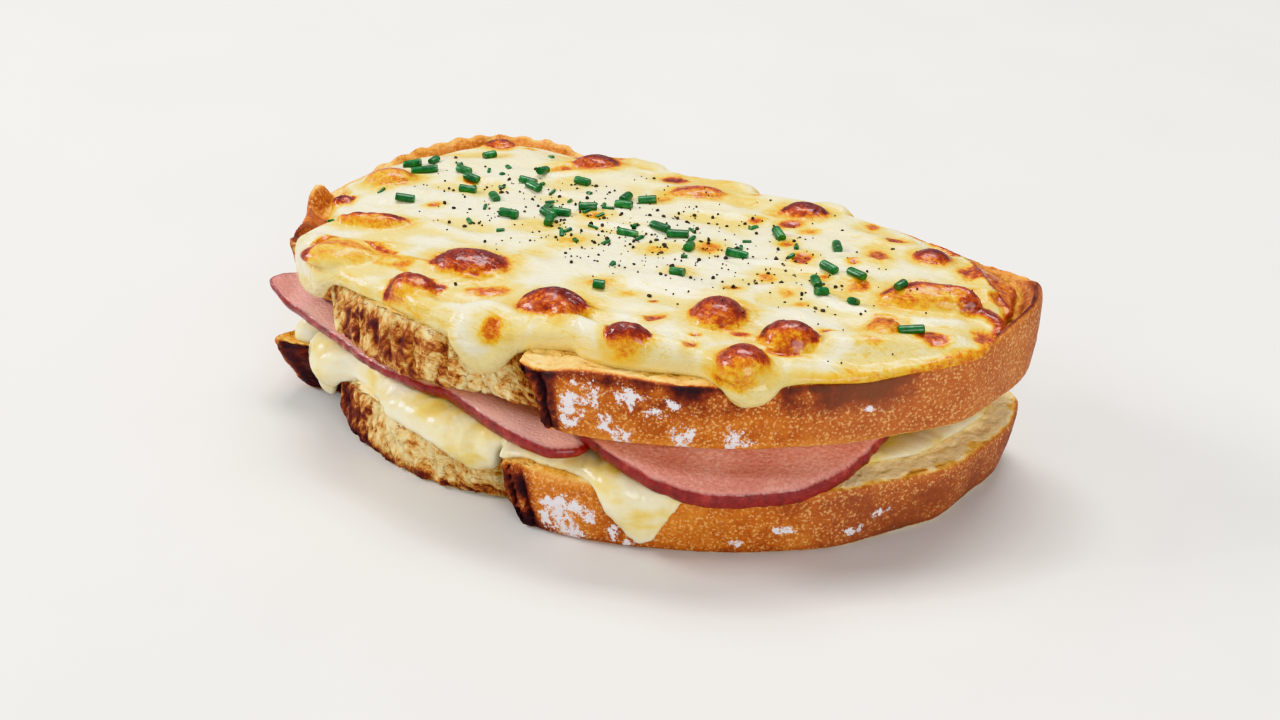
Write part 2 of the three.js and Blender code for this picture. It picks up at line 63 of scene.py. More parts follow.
# %% [markdown]
# ## Camera, floor and lights
# The camera stands 41 cm away and looks down 30 degrees past the torn corner of the loaf, as a
# person at a table does. The floor is a plain pale sheet. Glossy cheese shows its shape by what it
# mirrors, so the lights are large soft panels: one overhead behind the sandwich, whose reflection
# draws the rims of the blisters, one at the left, and a weak one at the right.

# %% Camera
CAMERA_FROM = (0.1714, -0.2816, 0.2063)
CAMERA_AT = (-0.0127, 0.0247, 0.0)
LENS = 50


def deselect():
    bpy.ops.object.select_all(action="DESELECT")


def turned_to(source, target):
    """The turn that points a camera or a light at source towards target."""
    return (Vector(target) - Vector(source)).to_track_quat("-Z", "Y").to_euler()


deselect()
bpy.ops.object.camera_add(location=CAMERA_FROM, rotation=turned_to(CAMERA_FROM, CAMERA_AT))
camera = bpy.context.object
camera.data.lens = LENS
camera.data.clip_start = 0.01
bpy.context.scene.camera = camera
print("camera", camera.name, "lens", LENS)

# %% Floor
bpy.ops.mesh.primitive_plane_add(size=6)
floor = bpy.context.object
floor.name = "floor"
print("floor", [round(side, 2) for side in floor.dimensions])

# %% Lights
PANELS = {
    "overhead": dict(at=(-0.1, 0.3, 0.8), size=(0.6, 0.22), watts=5.2),
    "left": dict(at=(-0.7, -0.3, 0.5), size=(0.34, 0.2), watts=5.0),
    "right": dict(at=(0.6, -0.5, 0.35), size=(0.4, 0.4), watts=3.1),
}
for name, panel in PANELS.items():
    turn = turned_to(panel["at"], (0, 0, 0))
    bpy.ops.object.light_add(type="AREA", location=panel["at"], rotation=turn)
    light = bpy.context.object
    light.name = name
    light.data.shape = "RECTANGLE"
    light.data.size, light.data.size_y = panel["size"]
    light.data.energy = panel["watts"]

scene = bpy.context.scene
scene.world = bpy.data.worlds.new("studio")
scene.world.use_nodes = True
background = scene.world.node_tree.nodes["Background"].inputs
background["Color"].default_value = (0.95, 0.97, 1.0, 1)
background["Strength"].default_value = 0.45
scene.view_settings.view_transform = "Khronos PBR Neutral"
print("panels", list(PANELS))

# %% [markdown]
# ## Curves, noise and vertices
# Every outline is a smooth closed curve through a few angles round the hub, a point inside the
# loaf. Noise makes things uneven. Both are computed for all vertices of a mesh at once.

# %% Curves
HUB = (0.0, -3.0)


def smoothstep(x, low, high):
    t = np.clip((np.asarray(x, float) - low) / (high - low), 0, 1)
    return t * t * (3 - 2 * t)


def bell(t):
    """A bump of height 1 at 0 that runs out at -1 and 1."""
    return np.where(np.abs(t) < 1, (1 - np.square(t)) ** 2, 0)


def apart(degrees, start):
    """How far one angle is past another, from -180 to 180."""
    return np.mod(np.asarray(degrees) - start + 180, 360) - 180


def mix(a, b, share):
    return a + (b - a) * share


def faded(distance, inner, outer):
    """1 inside, 0 outside, soft between."""
    return 1 - smoothstep(distance, inner, outer)


def window(degrees, low, high, soft=4):
    """1 between two angles, running out softly outside them."""
    middle, half = (low + high) / 2, (high - low) / 2
    return faded(np.abs(apart(degrees, middle)), half, half + soft)


def around(table):
    """A smooth closed curve through (degrees, value) pairs, which never overshoots them."""
    turns = np.array(table, float)
    turns = np.concatenate([turns[-2:] - (360, 0), turns, turns[:3] + (360, 0)])
    at, value = turns.T
    rise = np.diff(value) / np.diff(at)
    before, after = rise[:-1], rise[1:]
    level = before * after <= 0
    slope = np.where(level, 0, 2 * before * after / np.where(level, 1, before + after))

    def curve(degrees):
        angle = table[0][0] + np.mod(np.asarray(degrees, float) - table[0][0], 360)
        i = np.clip(np.searchsorted(at, angle, side="right") - 1, 1, len(at) - 3)
        span = at[i + 1] - at[i]
        t = (angle - at[i]) / span
        s = 1 - t
        bend = slope[i - 1] * s * s * t - slope[i] * t * t * s
        return value[i] * s * s * (1 + 2 * t) + value[i + 1] * t * t * (1 + 2 * s) + span * bend

    return curve


# %% Noise
def noise(x, y, z):
    """Smooth noise from -1 to 1, the same on every run."""
    def corner(i, j, k):
        s = np.sin(i * 127.1 + j * 311.7 + k * 74.7) * 43758.5453
        return 2 * (s - np.floor(s)) - 1

    x, y, z = np.broadcast_arrays(np.asarray(x, float), np.asarray(y, float), np.asarray(z, float))
    i, j, k = np.floor(x), np.floor(y), np.floor(z)
    u, v, w = ((p - q) ** 2 * (3 - 2 * (p - q)) for p, q in ((x, i), (y, j), (z, k)))

    def layer(n):
        near = mix(corner(i, j, n), corner(i + 1, j, n), u)
        far = mix(corner(i, j + 1, n), corner(i + 1, j + 1, n), u)
        return mix(near, far, v)

    return mix(layer(k), layer(k + 1), w)


OCTAVES = 3
OCTAVE_SUM = 1.6  # brings the sum of the octaves back to about -1 to 1


def rough(points, size, seed):
    """Noise with finer noise on it: size is the width of its largest lumps."""
    total = 0
    for octave in range(OCTAVES):
        x, y, z = (points * 2**octave / size).T
        total = total + noise(x + seed, y, z - seed) / 2**octave
    return total / OCTAVE_SUM


# %% Vertices
def points_of(piece, kind="co"):
    """The places, or with kind normal the normals, of a piece's vertices."""
    flat = np.empty(3 * len(piece.data.vertices), np.float32)
    piece.data.vertices.foreach_get(kind, flat)
    return flat.reshape(-1, 3).astype(float)


def put_points(piece, points):
    piece.data.vertices.foreach_set("co", points.astype(np.float32).ravel())
    piece.data.update()


def paint(piece, name, values):
    """Writes one number, or three, for every vertex, which the piece's material reads by name."""
    kind, field = ("FLOAT", "value") if np.ndim(values) == 1 else ("FLOAT_VECTOR", "vector")
    layer = piece.data.attributes.new(name, kind, "POINT")
    layer.data.foreach_set(field, np.asarray(values, np.float32).ravel())


def applied(piece, kind, **settings):
    """Adds a modifier with these settings to the piece and applies it."""
    bpy.context.view_layer.objects.active = piece
    bpy.ops.object.modifier_add(type=kind)
    modifier = piece.modifiers[-1]
    for name, value in settings.items():
        setattr(modifier, name, value)
    bpy.ops.object.modifier_apply(modifier=modifier.name)


def joined(parts, piece):
    """Joins parts to a piece."""
    deselect()
    for part in (*parts, piece):
        part.select_set(True)
    bpy.context.view_layer.objects.active = piece
    bpy.ops.object.join()


def ball_of_rings(name, columns, rings):
    """A sphere, with the column and the ring of each of its vertices, counted from the top."""
    deselect()
    bpy.ops.mesh.primitive_uv_sphere_add(segments=columns, ring_count=rings)
    piece = bpy.context.object
    piece.name = name
    x, y, z = points_of(piece).T
    ring = np.rint(np.arccos(np.clip(z, -1, 1)) / math.pi * rings).astype(int)
    column = np.rint(np.arctan2(y, x) / (2 * math.pi) * columns).astype(int) % columns
    return piece, column, ring


def even_skin(piece, voxel, smoothing):
    """Remeshes a piece into even small faces, joins what overlaps in it, and smooths it."""
    applied(piece, "REMESH", mode="VOXEL", voxel_size=voxel)
    applied(piece, "SMOOTH", factor=0.5, iterations=smoothing)
    deselect()
    piece.select_set(True)
    bpy.ops.object.shade_smooth()
    print(piece.name, len(piece.data.polygons), "faces")


def polar(points):
    """Angle and distance from the hub of places in the plan."""
    x, y = points[:, 0] - HUB[0], points[:, 1] - HUB[1]
    return np.mod(np.degrees(np.arctan2(y, x)), 360), np.hypot(x, y)


def into_frame(piece):
    """Turns a piece from millimetres in the plan into metres in the frame."""
    points = points_of(piece)
    points[:, :2] -= PLAN_MIDDLE
    put_points(piece, points * MM)
    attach(piece, "root")


def into_place(piece, node):
    """Moves a piece into its node's place, and prints how far it stands proud of the node."""
    into_frame(piece)
    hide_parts(node)
    low, high = np.array(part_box(node))
    placed = points_of(piece)
    past = np.maximum(placed.max(0) - high, low - placed.min(0)) / MM
    print(piece.name, "stands proud of", node, "by mm", past.round(1))


# %% [markdown]
# ## The shape of the loaf
# Both slices were cut from one loaf: a flat base along the back, a domed crust along the front and
# right, and between two ears the bloom, where the loaf tore open in the oven. One curve gives the
# crust's distance from the hub and another the bloom's, and the wall jumps from one to the other at
# each ear. A slice differs from its neighbour only in where its ears are and in its toasted rim.

# %% Loaf
SLICE = 14
FILLING = 10
EAR_STEP = 2.4
EAR_REACH = 14
FLARE_REACH = 6
CRAG = 1.5
RIM_WIDTH = 4.2
WALL_SWELL = 0.5
EDGE = 1.3
RIGHT_END = dict(at=10, reach=32)
SCALLOP = dict(start=132, end=172, pitch=4.1, height=0.9)

crust = around([
    (0, 79.6), (8, 83.4), (16, 87), (21, 87.2), (25.5, 83), (30, 76), (39, 65), (52, 52.4),
    (70, 43.8), (90, 41), (112, 45), (126, 53.2), (137, 61.4), (147, 69.3), (156, 72), (170, 73.4),
    (182, 74), (190, 73), (198, 70.6), (209, 67), (262, 46), (277, 44.8), (288, 45.6), (307, 48.7),
    (317, 51.7), (327, 56), (335, 59.8), (343, 65.3), (351, 71.2), (356, 75.8),
])
bloom = around([
    (200, 66), (208, 62.3), (214, 59.7), (222, 55.8), (229, 52.6), (237, 49.4), (246, 45.8),
    (257, 41.4), (264, 39.2), (285, 38.5),
])

lower = SimpleNamespace(
    name="bread_lower", base=0, front_ear=270.4, left_ear=203, front_lean=6.3, left_lean=-3.5,
    flare=8, trim=2.4, undercut=3.6, ear_undercut=4.5, scallops=0,
    rim=around([(0, 0), (197, 0), (201, 0.8), (206, 0), (268, 0), (274, 0.8), (280, 0)]),
)
upper = SimpleNamespace(
    name="bread_upper", base=SLICE + FILLING, front_ear=276.8, left_ear=203, front_lean=6.5,
    left_lean=-2, flare=2, trim=0, undercut=1.5, ear_undercut=4, scallops=SCALLOP["height"],
    rim=around([
        (0, 1), (8, 3), (15, 4.2), (21, 3.4), (27, 1.8), (36, 1.2), (60, 0.4), (90, 0.6),
        (112, 0.3), (128, 1.2), (138, 3), (152, 2.9), (164, 2.2), (176, 0.8), (183.6, 0.9),
        (185.8, 4.4), (188, 5.6), (190.2, 5.2), (192.6, 1.4), (196, 1.6), (200, 2.4), (203, 1.2),
        (206, 0.2), (268, 0.1), (276, 0.2), (280, -0.7), (285, -0.4), (290, 0.8), (296, 1.3), (302, 1.3),
        (308, 0.6), (316, 0), (345, 0.2),
    ]),
)


def torn_share(slice, degrees):
    """1 in the bloom and 0 in the crust."""
    opens = smoothstep(degrees, slice.left_ear, slice.left_ear + EAR_STEP)
    return opens * (1 - smoothstep(degrees, slice.front_ear - EAR_STEP, slice.front_ear))


def wall_radius(slice, degrees):
    flare = slice.flare * bell((degrees - slice.left_ear) / FLARE_REACH)
    trim = slice.trim * bell(apart(degrees, RIGHT_END["at"]) / RIGHT_END["reach"])
    return mix(crust(degrees) + flare - trim, bloom(degrees), torn_share(slice, degrees))


def crag_share(slice, degrees):
    """How craggy the wall is: full in the bloom, not at all in the crust."""
    opens = smoothstep(degrees, slice.left_ear, slice.left_ear + 2 * EAR_STEP)
    closes = smoothstep(degrees, slice.front_ear - 2 * EAR_STEP, slice.front_ear - EAR_STEP)
    return opens * (1 - closes)


def lean(slice, degrees, z):
    """How far a leaning ear turns a point at a height in its slice."""
    sunk = np.clip(1 - (z - slice.base) / SLICE, 0, 1)
    front = slice.front_lean * bell((degrees - slice.front_ear) / EAR_REACH)
    left = slice.left_lean * bell((degrees - slice.left_ear) / EAR_REACH)
    return (front + left) * sunk


LEAN_ROUNDS = 10


def unleaned(slice, seen, z):
    """The angle before the ears' lean of a point seen at an angle."""
    degrees = np.array(seen, float)
    for _ in range(LEAN_ROUNDS):
        degrees = seen - lean(slice, degrees, z)
    return degrees


def polar_points(slice, degrees, radius, z):
    angle = np.radians(degrees + lean(slice, degrees, z))
    return np.column_stack([HUB[0] + radius * np.cos(angle), HUB[1] + radius * np.sin(angle), z])


def top_height(slice, degrees, inset):
    """Height of a slice's top face, with its raised and scalloped rim."""
    inside = (degrees > SCALLOP["start"]) & (degrees < SCALLOP["end"])
    lumps = slice.scallops * inside * np.abs(np.sin(math.pi * degrees / SCALLOP["pitch"]))
    raised = 1 - smoothstep(inset, 1, RIM_WIDTH)
    return slice.base + SLICE + (slice.rim(degrees) + lumps) * raised


def undercut_depth(slice, degrees):
    end = slice.undercut * bell(apart(degrees, RIGHT_END["at"]) / RIGHT_END["reach"])
    return end + slice.ear_undercut * bell(apart(degrees, slice.left_ear) / EAR_REACH)


turns = np.arange(360)
print("the loaf is", int(np.ptp(crust(turns) * np.cos(np.radians(turns)))), "mm long")


# %% [markdown]
# ## A slice of bread
# A sphere's rings become the slice's profile: rings near the top pole lie flat in the cut face, the
# next ones go over the edge and down the wall, and the last lie in the underside. The voxel remesh
# then gives small even faces everywhere. What is finer is added to them along their normals: the
# fine pimples of the crust, the pores of the cut faces, and the crags and strands of the bloom.

# %% Profile of a slice
EDGE_STEPS = 4


def arc_rows(at_top):
    """Quarter circle from the top face to the wall, or from the wall to the underside."""
    rows = []
    for turn in np.linspace(0, math.pi / 2, EDGE_STEPS):
        over, down = EDGE * (1 - math.sin(turn)), EDGE * (1 - math.cos(turn))
        rows.append((1, over, SLICE - down) if at_top else (1, down, over))
    return rows


# Each row is a ring: its share of the way to the wall, how far in from the wall, and its height
CUT_ROWS = [(0, 0, SLICE), (0.3, 0, SLICE), (0.6, 0, SLICE), (0.8, 0, SLICE)]
RIM_ROWS = [(1, RIM_WIDTH, SLICE), (1, 3.2, SLICE), (1, 2.2, SLICE)]
WALL_ROWS = [(1, 0, up) for up in (11, 9, 7, 5, 3)]
UNDER_ROWS = [(0.7, 0, 0), (0.35, 0, 0), (0, 0, 0)]
SLICE_ROWS = np.array(
    CUT_ROWS + RIM_ROWS + arc_rows(True) + WALL_ROWS + arc_rows(False) + UNDER_ROWS)
BREAD_COLUMNS = 720
BREAD_VOXEL = 0.6


def slice_body(slice):
    piece, column, ring = ball_of_rings(slice.name, BREAD_COLUMNS, len(SLICE_ROWS) - 1)
    degrees = column * 360 / BREAD_COLUMNS
    reach, inset, up = SLICE_ROWS[ring].T
    share = up / SLICE
    edge = wall_radius(slice, degrees)
    rim_up = top_height(slice, degrees, inset) - slice.base - SLICE
    z = slice.base + up + np.where(reach == 1, rim_up * share**3, 0)
    ragged = noise(degrees / 2.2, z / 6, slice.base)
    ragged = ragged + 0.5 * noise(degrees / 1.1, z / 3, slice.base + 9)
    crag = CRAG * crag_share(slice, degrees) * np.abs(ragged) * np.where(inset < RIM_WIDTH, 1, 0.3)
    wall = WALL_SWELL * np.sin(math.pi * share) - (1 - share) * undercut_depth(slice, degrees) - crag
    radius = edge * reach - inset + np.where(reach == 1, wall, 0)
    put_points(piece, polar_points(slice, degrees, radius, z))
    even_skin(piece, BREAD_VOXEL, 2)
    return piece


lower_bread = slice_body(lower)
upper_bread = slice_body(upper)


# %% Where each point of a slice is
def skin_of(piece, slice):
    """For each vertex: its angle before lean, height, distance in from the wall, and shares of
    wall, cut face, bloom and ears. Its span and lumps are window and rough at these vertices."""
    points = points_of(piece)
    seen, radius = polar(points)
    degrees = unleaned(slice, seen, points[:, 2])
    height = points[:, 2] - slice.base
    inset = wall_radius(slice, degrees) - radius
    steep = 1 - smoothstep(np.abs(points_of(piece, "normal")[:, 2]), 0.5, 0.85)
    wall = np.maximum(steep, 1 - smoothstep(inset, 0.2, 1.2)) * (inset < RIM_WIDTH + 1)
    torn = crag_share(slice, degrees)
    step = window(degrees, slice.left_ear + 0.6, slice.left_ear + 2 * EAR_STEP, 0.6) * wall
    torn = np.maximum(torn, step)
    front = window(degrees, slice.front_ear - EAR_STEP, slice.front_ear + 4, 4)
    left = window(degrees, slice.left_ear - 3, slice.left_ear + EAR_STEP, 3)
    return SimpleNamespace(
        points=points, degrees=degrees, height=height, inset=inset, wall=wall, torn=torn,
        cut=1 - wall, ear=np.maximum(front, left) * wall,
        span=lambda low, high, soft=4: window(degrees, low, high, soft),
        lumps=lambda size, seed: rough(points, size, seed),
    )


lower_skin = skin_of(lower_bread, lower)
upper_skin = skin_of(upper_bread, upper)
print("upper slice:", int(upper_skin.wall.sum()), "wall points")


# %% Relief of the bread
def ear_grooves(skin):
    """Cracks up an ear, where the crust broke: 1 at the bottom of one, 0 between them."""
    along = skin.degrees / 1.9 + 0.35 * noise(skin.height / 6, skin.degrees / 9, 2)
    return skin.ear * faded(np.abs(noise(along, skin.height / 16, 6)), 0.08, 0.4)


def bread_strands(skin, slice):
    """Fibres of the torn crumb: noise drawn out up the wall, from -1 to 1."""
    along, up = skin.degrees / 1.2, skin.height / 6
    slanted = along + 0.5 * up + 0.5 * noise(along / 4, up * 2, slice.base + 3)
    coarse = noise(slanted, up, slice.base + 5)
    fine = noise(slanted * 2.1, up * 2, slice.base + 11)
    return 0.6 * coarse + 0.5 * fine


def roughen_bread(piece, skin, slice):
    normals = points_of(piece, "normal")
    crags = 0.7 * bread_strands(skin, slice) + 0.4 * skin.lumps(3, 2)
    pimples = 0.14 * skin.lumps(2.2, 5) + 0.14 * skin.lumps(9, 7)
    pores = -0.6 * smoothstep(skin.lumps(2.2, 9), 0.15, 0.6) + 0.18 * skin.lumps(4, 4)
    splits = -1.4 * ear_grooves(skin) + 0.5 * skin.ear * skin.lumps(3, 8)
    raised = skin.wall * mix(pimples, crags, skin.torn) + skin.cut * pores + splits
    lying = smoothstep(skin.height, 0, 0.8)
    put_points(piece, skin.points + normals * (raised * lying)[:, None])
    print(piece.name, "relief in mm", raised.min().round(1), raised.max().round(1))


roughen_bread(lower_bread, lower_skin, lower)
roughen_bread(upper_bread, upper_skin, upper)

# %% [markdown]
# ## Melted cheese
# A sheet of cheese follows the bread: over the top face, round the edge, and down the wall where it
# drips. So a point of it is named by its angle, its distance along the bread's skin and how far it
# is lifted off that skin. The sheet's lip is round, because melted cheese pulls itself together.

# %% Points on the bread's skin
BEND = 2
HANG_CLEAR = 0.45
LIE_CLEAR = 0.42
SOAK = 1.3
ROLL = 4.2
LIP_EDGE = 0.12
HANG_DEPTH = 2.9
APRON = dict(at=207, reach=5, depth=2.2)


def skin_points(slice, degrees, along, lift):
    edge = wall_radius(slice, degrees) + WALL_SWELL + HANG_CLEAR
    past = along - (edge - BEND)
    turn = np.clip(past / BEND, 0, math.pi / 2)
    hang = np.maximum(past - BEND * math.pi / 2, 0)
    radius = np.minimum(along, edge - BEND) + (BEND + lift) * np.sin(turn)
    level = top_height(slice, degrees, edge - np.minimum(along, edge)) + LIE_CLEAR
    z = level - BEND * (1 - np.cos(turn)) - hang + lift * np.cos(turn)
    return polar_points(slice, degrees, radius, z)


# %% A sheet of cheese
INNER_ROWS = np.linspace(0, 1, 14)
LIP_ROWS = 1 - np.cos(np.linspace(0, math.pi / 2, 14)[1:])
UNDER_STEPS = 9
SHEET_COLUMNS = 600


def cheese_sheet(name, slice, reach, depth, roll):
    """A sheet over a slice: how far past the edge it runs, how thick it is, how long its lip is."""
    rings = len(INNER_ROWS) + len(LIP_ROWS) + UNDER_STEPS - 1
    piece, column, ring = ball_of_rings(name, SHEET_COLUMNS, rings)
    degrees = column * 360 / SHEET_COLUMNS
    edge = wall_radius(slice, degrees) + WALL_SWELL + HANG_CLEAR
    end = edge + reach(degrees)
    lip_start = np.minimum(edge - BEND, end - roll(degrees))
    inner = ring < len(INNER_ROWS)
    lip = ~inner & (ring < len(INNER_ROWS) + len(LIP_ROWS))
    lip_share = LIP_ROWS[np.clip(ring - len(INNER_ROWS), 0, len(LIP_ROWS) - 1)]
    lip_share = np.sin(lip_share * math.pi / 2)
    over = np.where(inner, INNER_ROWS[np.clip(ring, 0, len(INNER_ROWS) - 1)] * lip_start,
                    mix(lip_start, end, lip_share))
    left = np.clip((end - over) / roll(degrees), 0, 1)
    rounded = np.maximum(np.sqrt(1 - (1 - left) ** 2), LIP_EDGE)
    step = np.clip(ring - len(INNER_ROWS) - len(LIP_ROWS), 0, UNDER_STEPS - 1)
    under = (end - 0.3) * (1 - (step / (UNDER_STEPS - 1)) ** 1.6)
    along = np.where(inner | lip, over, under)
    lift = np.where(inner | lip, depth(degrees, along) * rounded, -SOAK * smoothstep(end - along, 0, 2))
    put_points(piece, skin_points(slice, degrees, along, lift))
    return piece


# %% [markdown]
# ## The cheese between the slices
# At the left it is a thick rounded band that swells out between the slices. At the front it runs
# down in two drips, and at the right it is only a thin film on the crumb.

# %% Cheese between the slices
FILLING_MIDDLE = 2.2
FILLING_VOXEL = 0.6
filling_reach = around([
    (0, -8), (14, -7), (28, -5), (44, -3), (60, -1.5), (76, 4), (83, 0), (98, -2), (110, 6), (118, 0),
    (136, -2), (150, 1), (162, -1), (172, 2), (180, -1.5), (192, -4), (202, -6), (205, -3.6), (207, 3),
    (209, 7), (211, 7.4), (213.5, 5), (216.5, 0.6), (219.5, -2.2), (224, -2.8), (229, -1.6), (234, -0.2),
    (240, 0.6), (246, 1.2), (251, 2.4), (255.5, 4.8), (259.5, 6), (263.5, 4.6), (267, 0.6), (271, -1.5),
    (276, -3.5), (287, -3.2), (293.5, -2), (298, 3.4), (301, 7), (304, 10), (306.5, 11.6), (308.8, 10.8),
    (311, 8), (314, 3.6), (317, -1.6), (320, -5.4), (325, -8), (340, -9), (352, -8.5),
])
filling_edge_depth = around([
    (0, 1.6), (20, 1.8), (45, 2.2), (90, 2.8), (135, 3.4), (170, 4.4), (192, 5.1), (208, 5.5),
    (222, 5.5), (236, 5.2), (250, 4.2), (262, 3.2), (276, 2.6), (292, 2.4), (301, 2.2), (309, 1.5),
    (316, 0.8), (330, 0.7), (345, 1.2),
])


def filling_depth(degrees, along):
    edge = wall_radius(lower, degrees)
    share = smoothstep(along / crust(degrees), 0.4, 0.82)
    at_edge = mix(FILLING_MIDDLE, filling_edge_depth(degrees), share)
    return mix(at_edge, np.minimum(at_edge, HANG_DEPTH), smoothstep(along - edge, 0, 2 * BEND))


filling = cheese_sheet("cheese_between", lower, filling_reach, filling_depth, lambda degrees: ROLL)


# %% Rolls of cheese
ROLL_BALLS = 7


def weld_roll(sheet, path):
    """Joins a roll of cheese to a sheet: balls between each two places of its path, whose rows are
    x, y, height and radius. The voxel remesh that follows makes one skin of them."""
    rows = np.array(path, float)
    balls = []
    for start, end in zip(rows[:-1], rows[1:]):
        for share in np.linspace(0, 1, ROLL_BALLS):
            *place, radius = mix(start, end, share)
            deselect()
            bpy.ops.mesh.primitive_uv_sphere_add(
                segments=20, ring_count=10, radius=radius, location=place)
            balls.append(bpy.context.object)
    joined(balls, sheet)


# The band of cheese goes on over the lower slice's front ear
weld_roll(filling, [(-7, -42, 14.6, 2), (-2, -42, 15.2, 2), (4, -41.5, 15.4, 1.8), (10, -41, 15.2, 1.4)])
even_skin(filling, FILLING_VOXEL, 4)


def flow_lines(piece, depth):
    """Low ridges where the cheese flowed: noise drawn out along the way it ran."""
    points, normals = points_of(piece), points_of(piece, "normal")
    degrees, radius = polar(points)
    up = points[:, 2]
    flow = noise(degrees / 2.6, up / 5, radius / 30) + 0.5 * noise(degrees / 1.1, up / 4, 3)
    put_points(piece, points + normals * (depth * flow)[:, None])


flow_lines(filling, 0.4)

# %% [markdown]
# ## The ham
# A slice of ham is a disc cut from a cylinder, so it starts as one, with its cut edge bevelled.
# It is limp: each vertex is then laid on what is under it, and the disc's edge is pulled out to
# the outline of the slice. The left slice's tip curls up where it sticks out past the crust, and
# the front slice sags over the bread's edge.

# %% Ham
UNEVEN = 0.3
CLEAR = 0.3
HAM_RADIUS = 38
HAM_VOXEL = 0.6
ham_left = SimpleNamespace(
    name="ham_slice_left", x=-25, y=-4, thick=2.6,
    radius=around([
        (0, 36), (27, 37), (52, 42), (84, 44), (116, 45.6), (136, 48.4), (160, 47.8), (181, 49.2),
        (196, 52.2), (205, 55), (216, 47.4), (237, 40.6), (266, 38.4), (280, 38.6), (291, 42.4),
        (297, 46.2), (305.5, 53), (311, 56.8), (315.5, 57.2), (321, 53), (330, 43), (345, 37.5),
    ]),
    swell=around([(0, 0), (270, 0), (286, 0.9), (304, 0.9), (312, 0.2), (318, 0), (340, 0)]),
)
ham_front = SimpleNamespace(
    name="ham_slice_front", x=28, y=-6, thick=3, radius=lambda degrees: HAM_RADIUS,
    swell=around([(0, 0.3), (20, 0), (250, 0), (270, 0.8), (290, 1.1), (330, 1.1), (350, 0.8)]),
)
ham_sag = around([
    (0, 1.4), (20, 0), (288, 0), (295, 1), (302, 2.9), (309, 4.3), (317, 5.3), (325, 5.6),
    (333, 5.8), (341, 5.8), (348, 4.8), (354, 3),
])
SAG_INNER = 16
DROOP = dict(depth=1.3, middle=319, reach=38, past=4)
CURL = dict(height=3.2, start=2, end=9)


def left_ham_floor(points):
    degrees, along = polar(points)
    within = np.minimum(along, wall_radius(lower, degrees))
    curl = CURL["height"] * smoothstep(along - crust(degrees), CURL["start"], CURL["end"])
    return SLICE + 2 * LIE_CLEAR + UNEVEN + filling_depth(degrees, within) + curl


def front_ham_floor(points):
    degrees, along = polar(points)
    inset = wall_radius(lower, degrees) - along
    level = SLICE + 2 * LIE_CLEAR + 2 * UNEVEN + FILLING_MIDDLE + ham_left.thick + CLEAR
    droop = DROOP["depth"] * bell(apart(degrees, DROOP["middle"]) / DROOP["reach"])
    droop = droop * smoothstep(-inset, 0, DROOP["past"])
    return level - ham_sag(degrees) * smoothstep(SAG_INNER - inset, 0, SAG_INNER + 2) - droop


def ham_slice(ham, ground):
    deselect()
    bpy.ops.mesh.primitive_cylinder_add(vertices=128, radius=1, depth=1, end_fill_type="NGON")
    piece = bpy.context.object
    piece.name = ham.name
    put_points(piece, points_of(piece) * (HAM_RADIUS, HAM_RADIUS, ham.thick))
    applied(piece, "BEVEL", width=0.9, segments=4, limit_method="ANGLE")
    applied(piece, "REMESH", mode="VOXEL", voxel_size=HAM_VOXEL)
    disc = points_of(piece)
    angle = np.arctan2(disc[:, 1], disc[:, 0])
    degrees = np.mod(np.degrees(angle), 360)
    wavy = 0.4 * noise(degrees / 14, ham.x, 2) + 0.25 * noise(degrees / 2.2, ham.x, 5)
    edge = ham.radius(degrees) + wavy
    radius = np.hypot(disc[:, 0], disc[:, 1]) * edge / HAM_RADIUS
    x, y = ham.x + radius * np.cos(angle), ham.y + radius * np.sin(angle)
    laid = np.column_stack([x, y, disc[:, 2]])
    thicker = 1 + ham.swell(degrees) / ham.thick * smoothstep(radius / edge, 0.7, 0.97)
    ripple = 0.25 * noise(x / 9, y / 9, ham.x)
    laid[:, 2] = ground(laid) + (disc[:, 2] + ham.thick / 2) * thicker + ripple
    put_points(piece, laid)
    applied(piece, "SMOOTH", factor=0.5, iterations=3)
    bpy.ops.object.shade_smooth()
    paint(piece, "rim", smoothstep(radius / edge, 0.955, 0.985) * faded(disc[:, 2], 1.0, 1.4))
    # Painted light: the left slice's top is painted paler, least at its far left tip, to light it where it
    # lies in shade
    paint(piece, "pale", (ham is ham_left) * mix(1.5, 0.4, smoothstep(-x, 58, 70)))
    print(piece.name, len(piece.data.polygons), "faces")
    return piece


left_slice = ham_slice(ham_left, left_ham_floor)
front_slice = ham_slice(ham_front, front_ham_floor)

# %% [markdown]
# ## The browned cheese on top
# The topping is a thicker sheet over the upper slice. Steam blew it up into blisters, which browned
# first because they stood nearest the grill. A blister is a separate round dome sunk into the
# sheet, and the voxel remesh welds all of them together and rounds the joints.

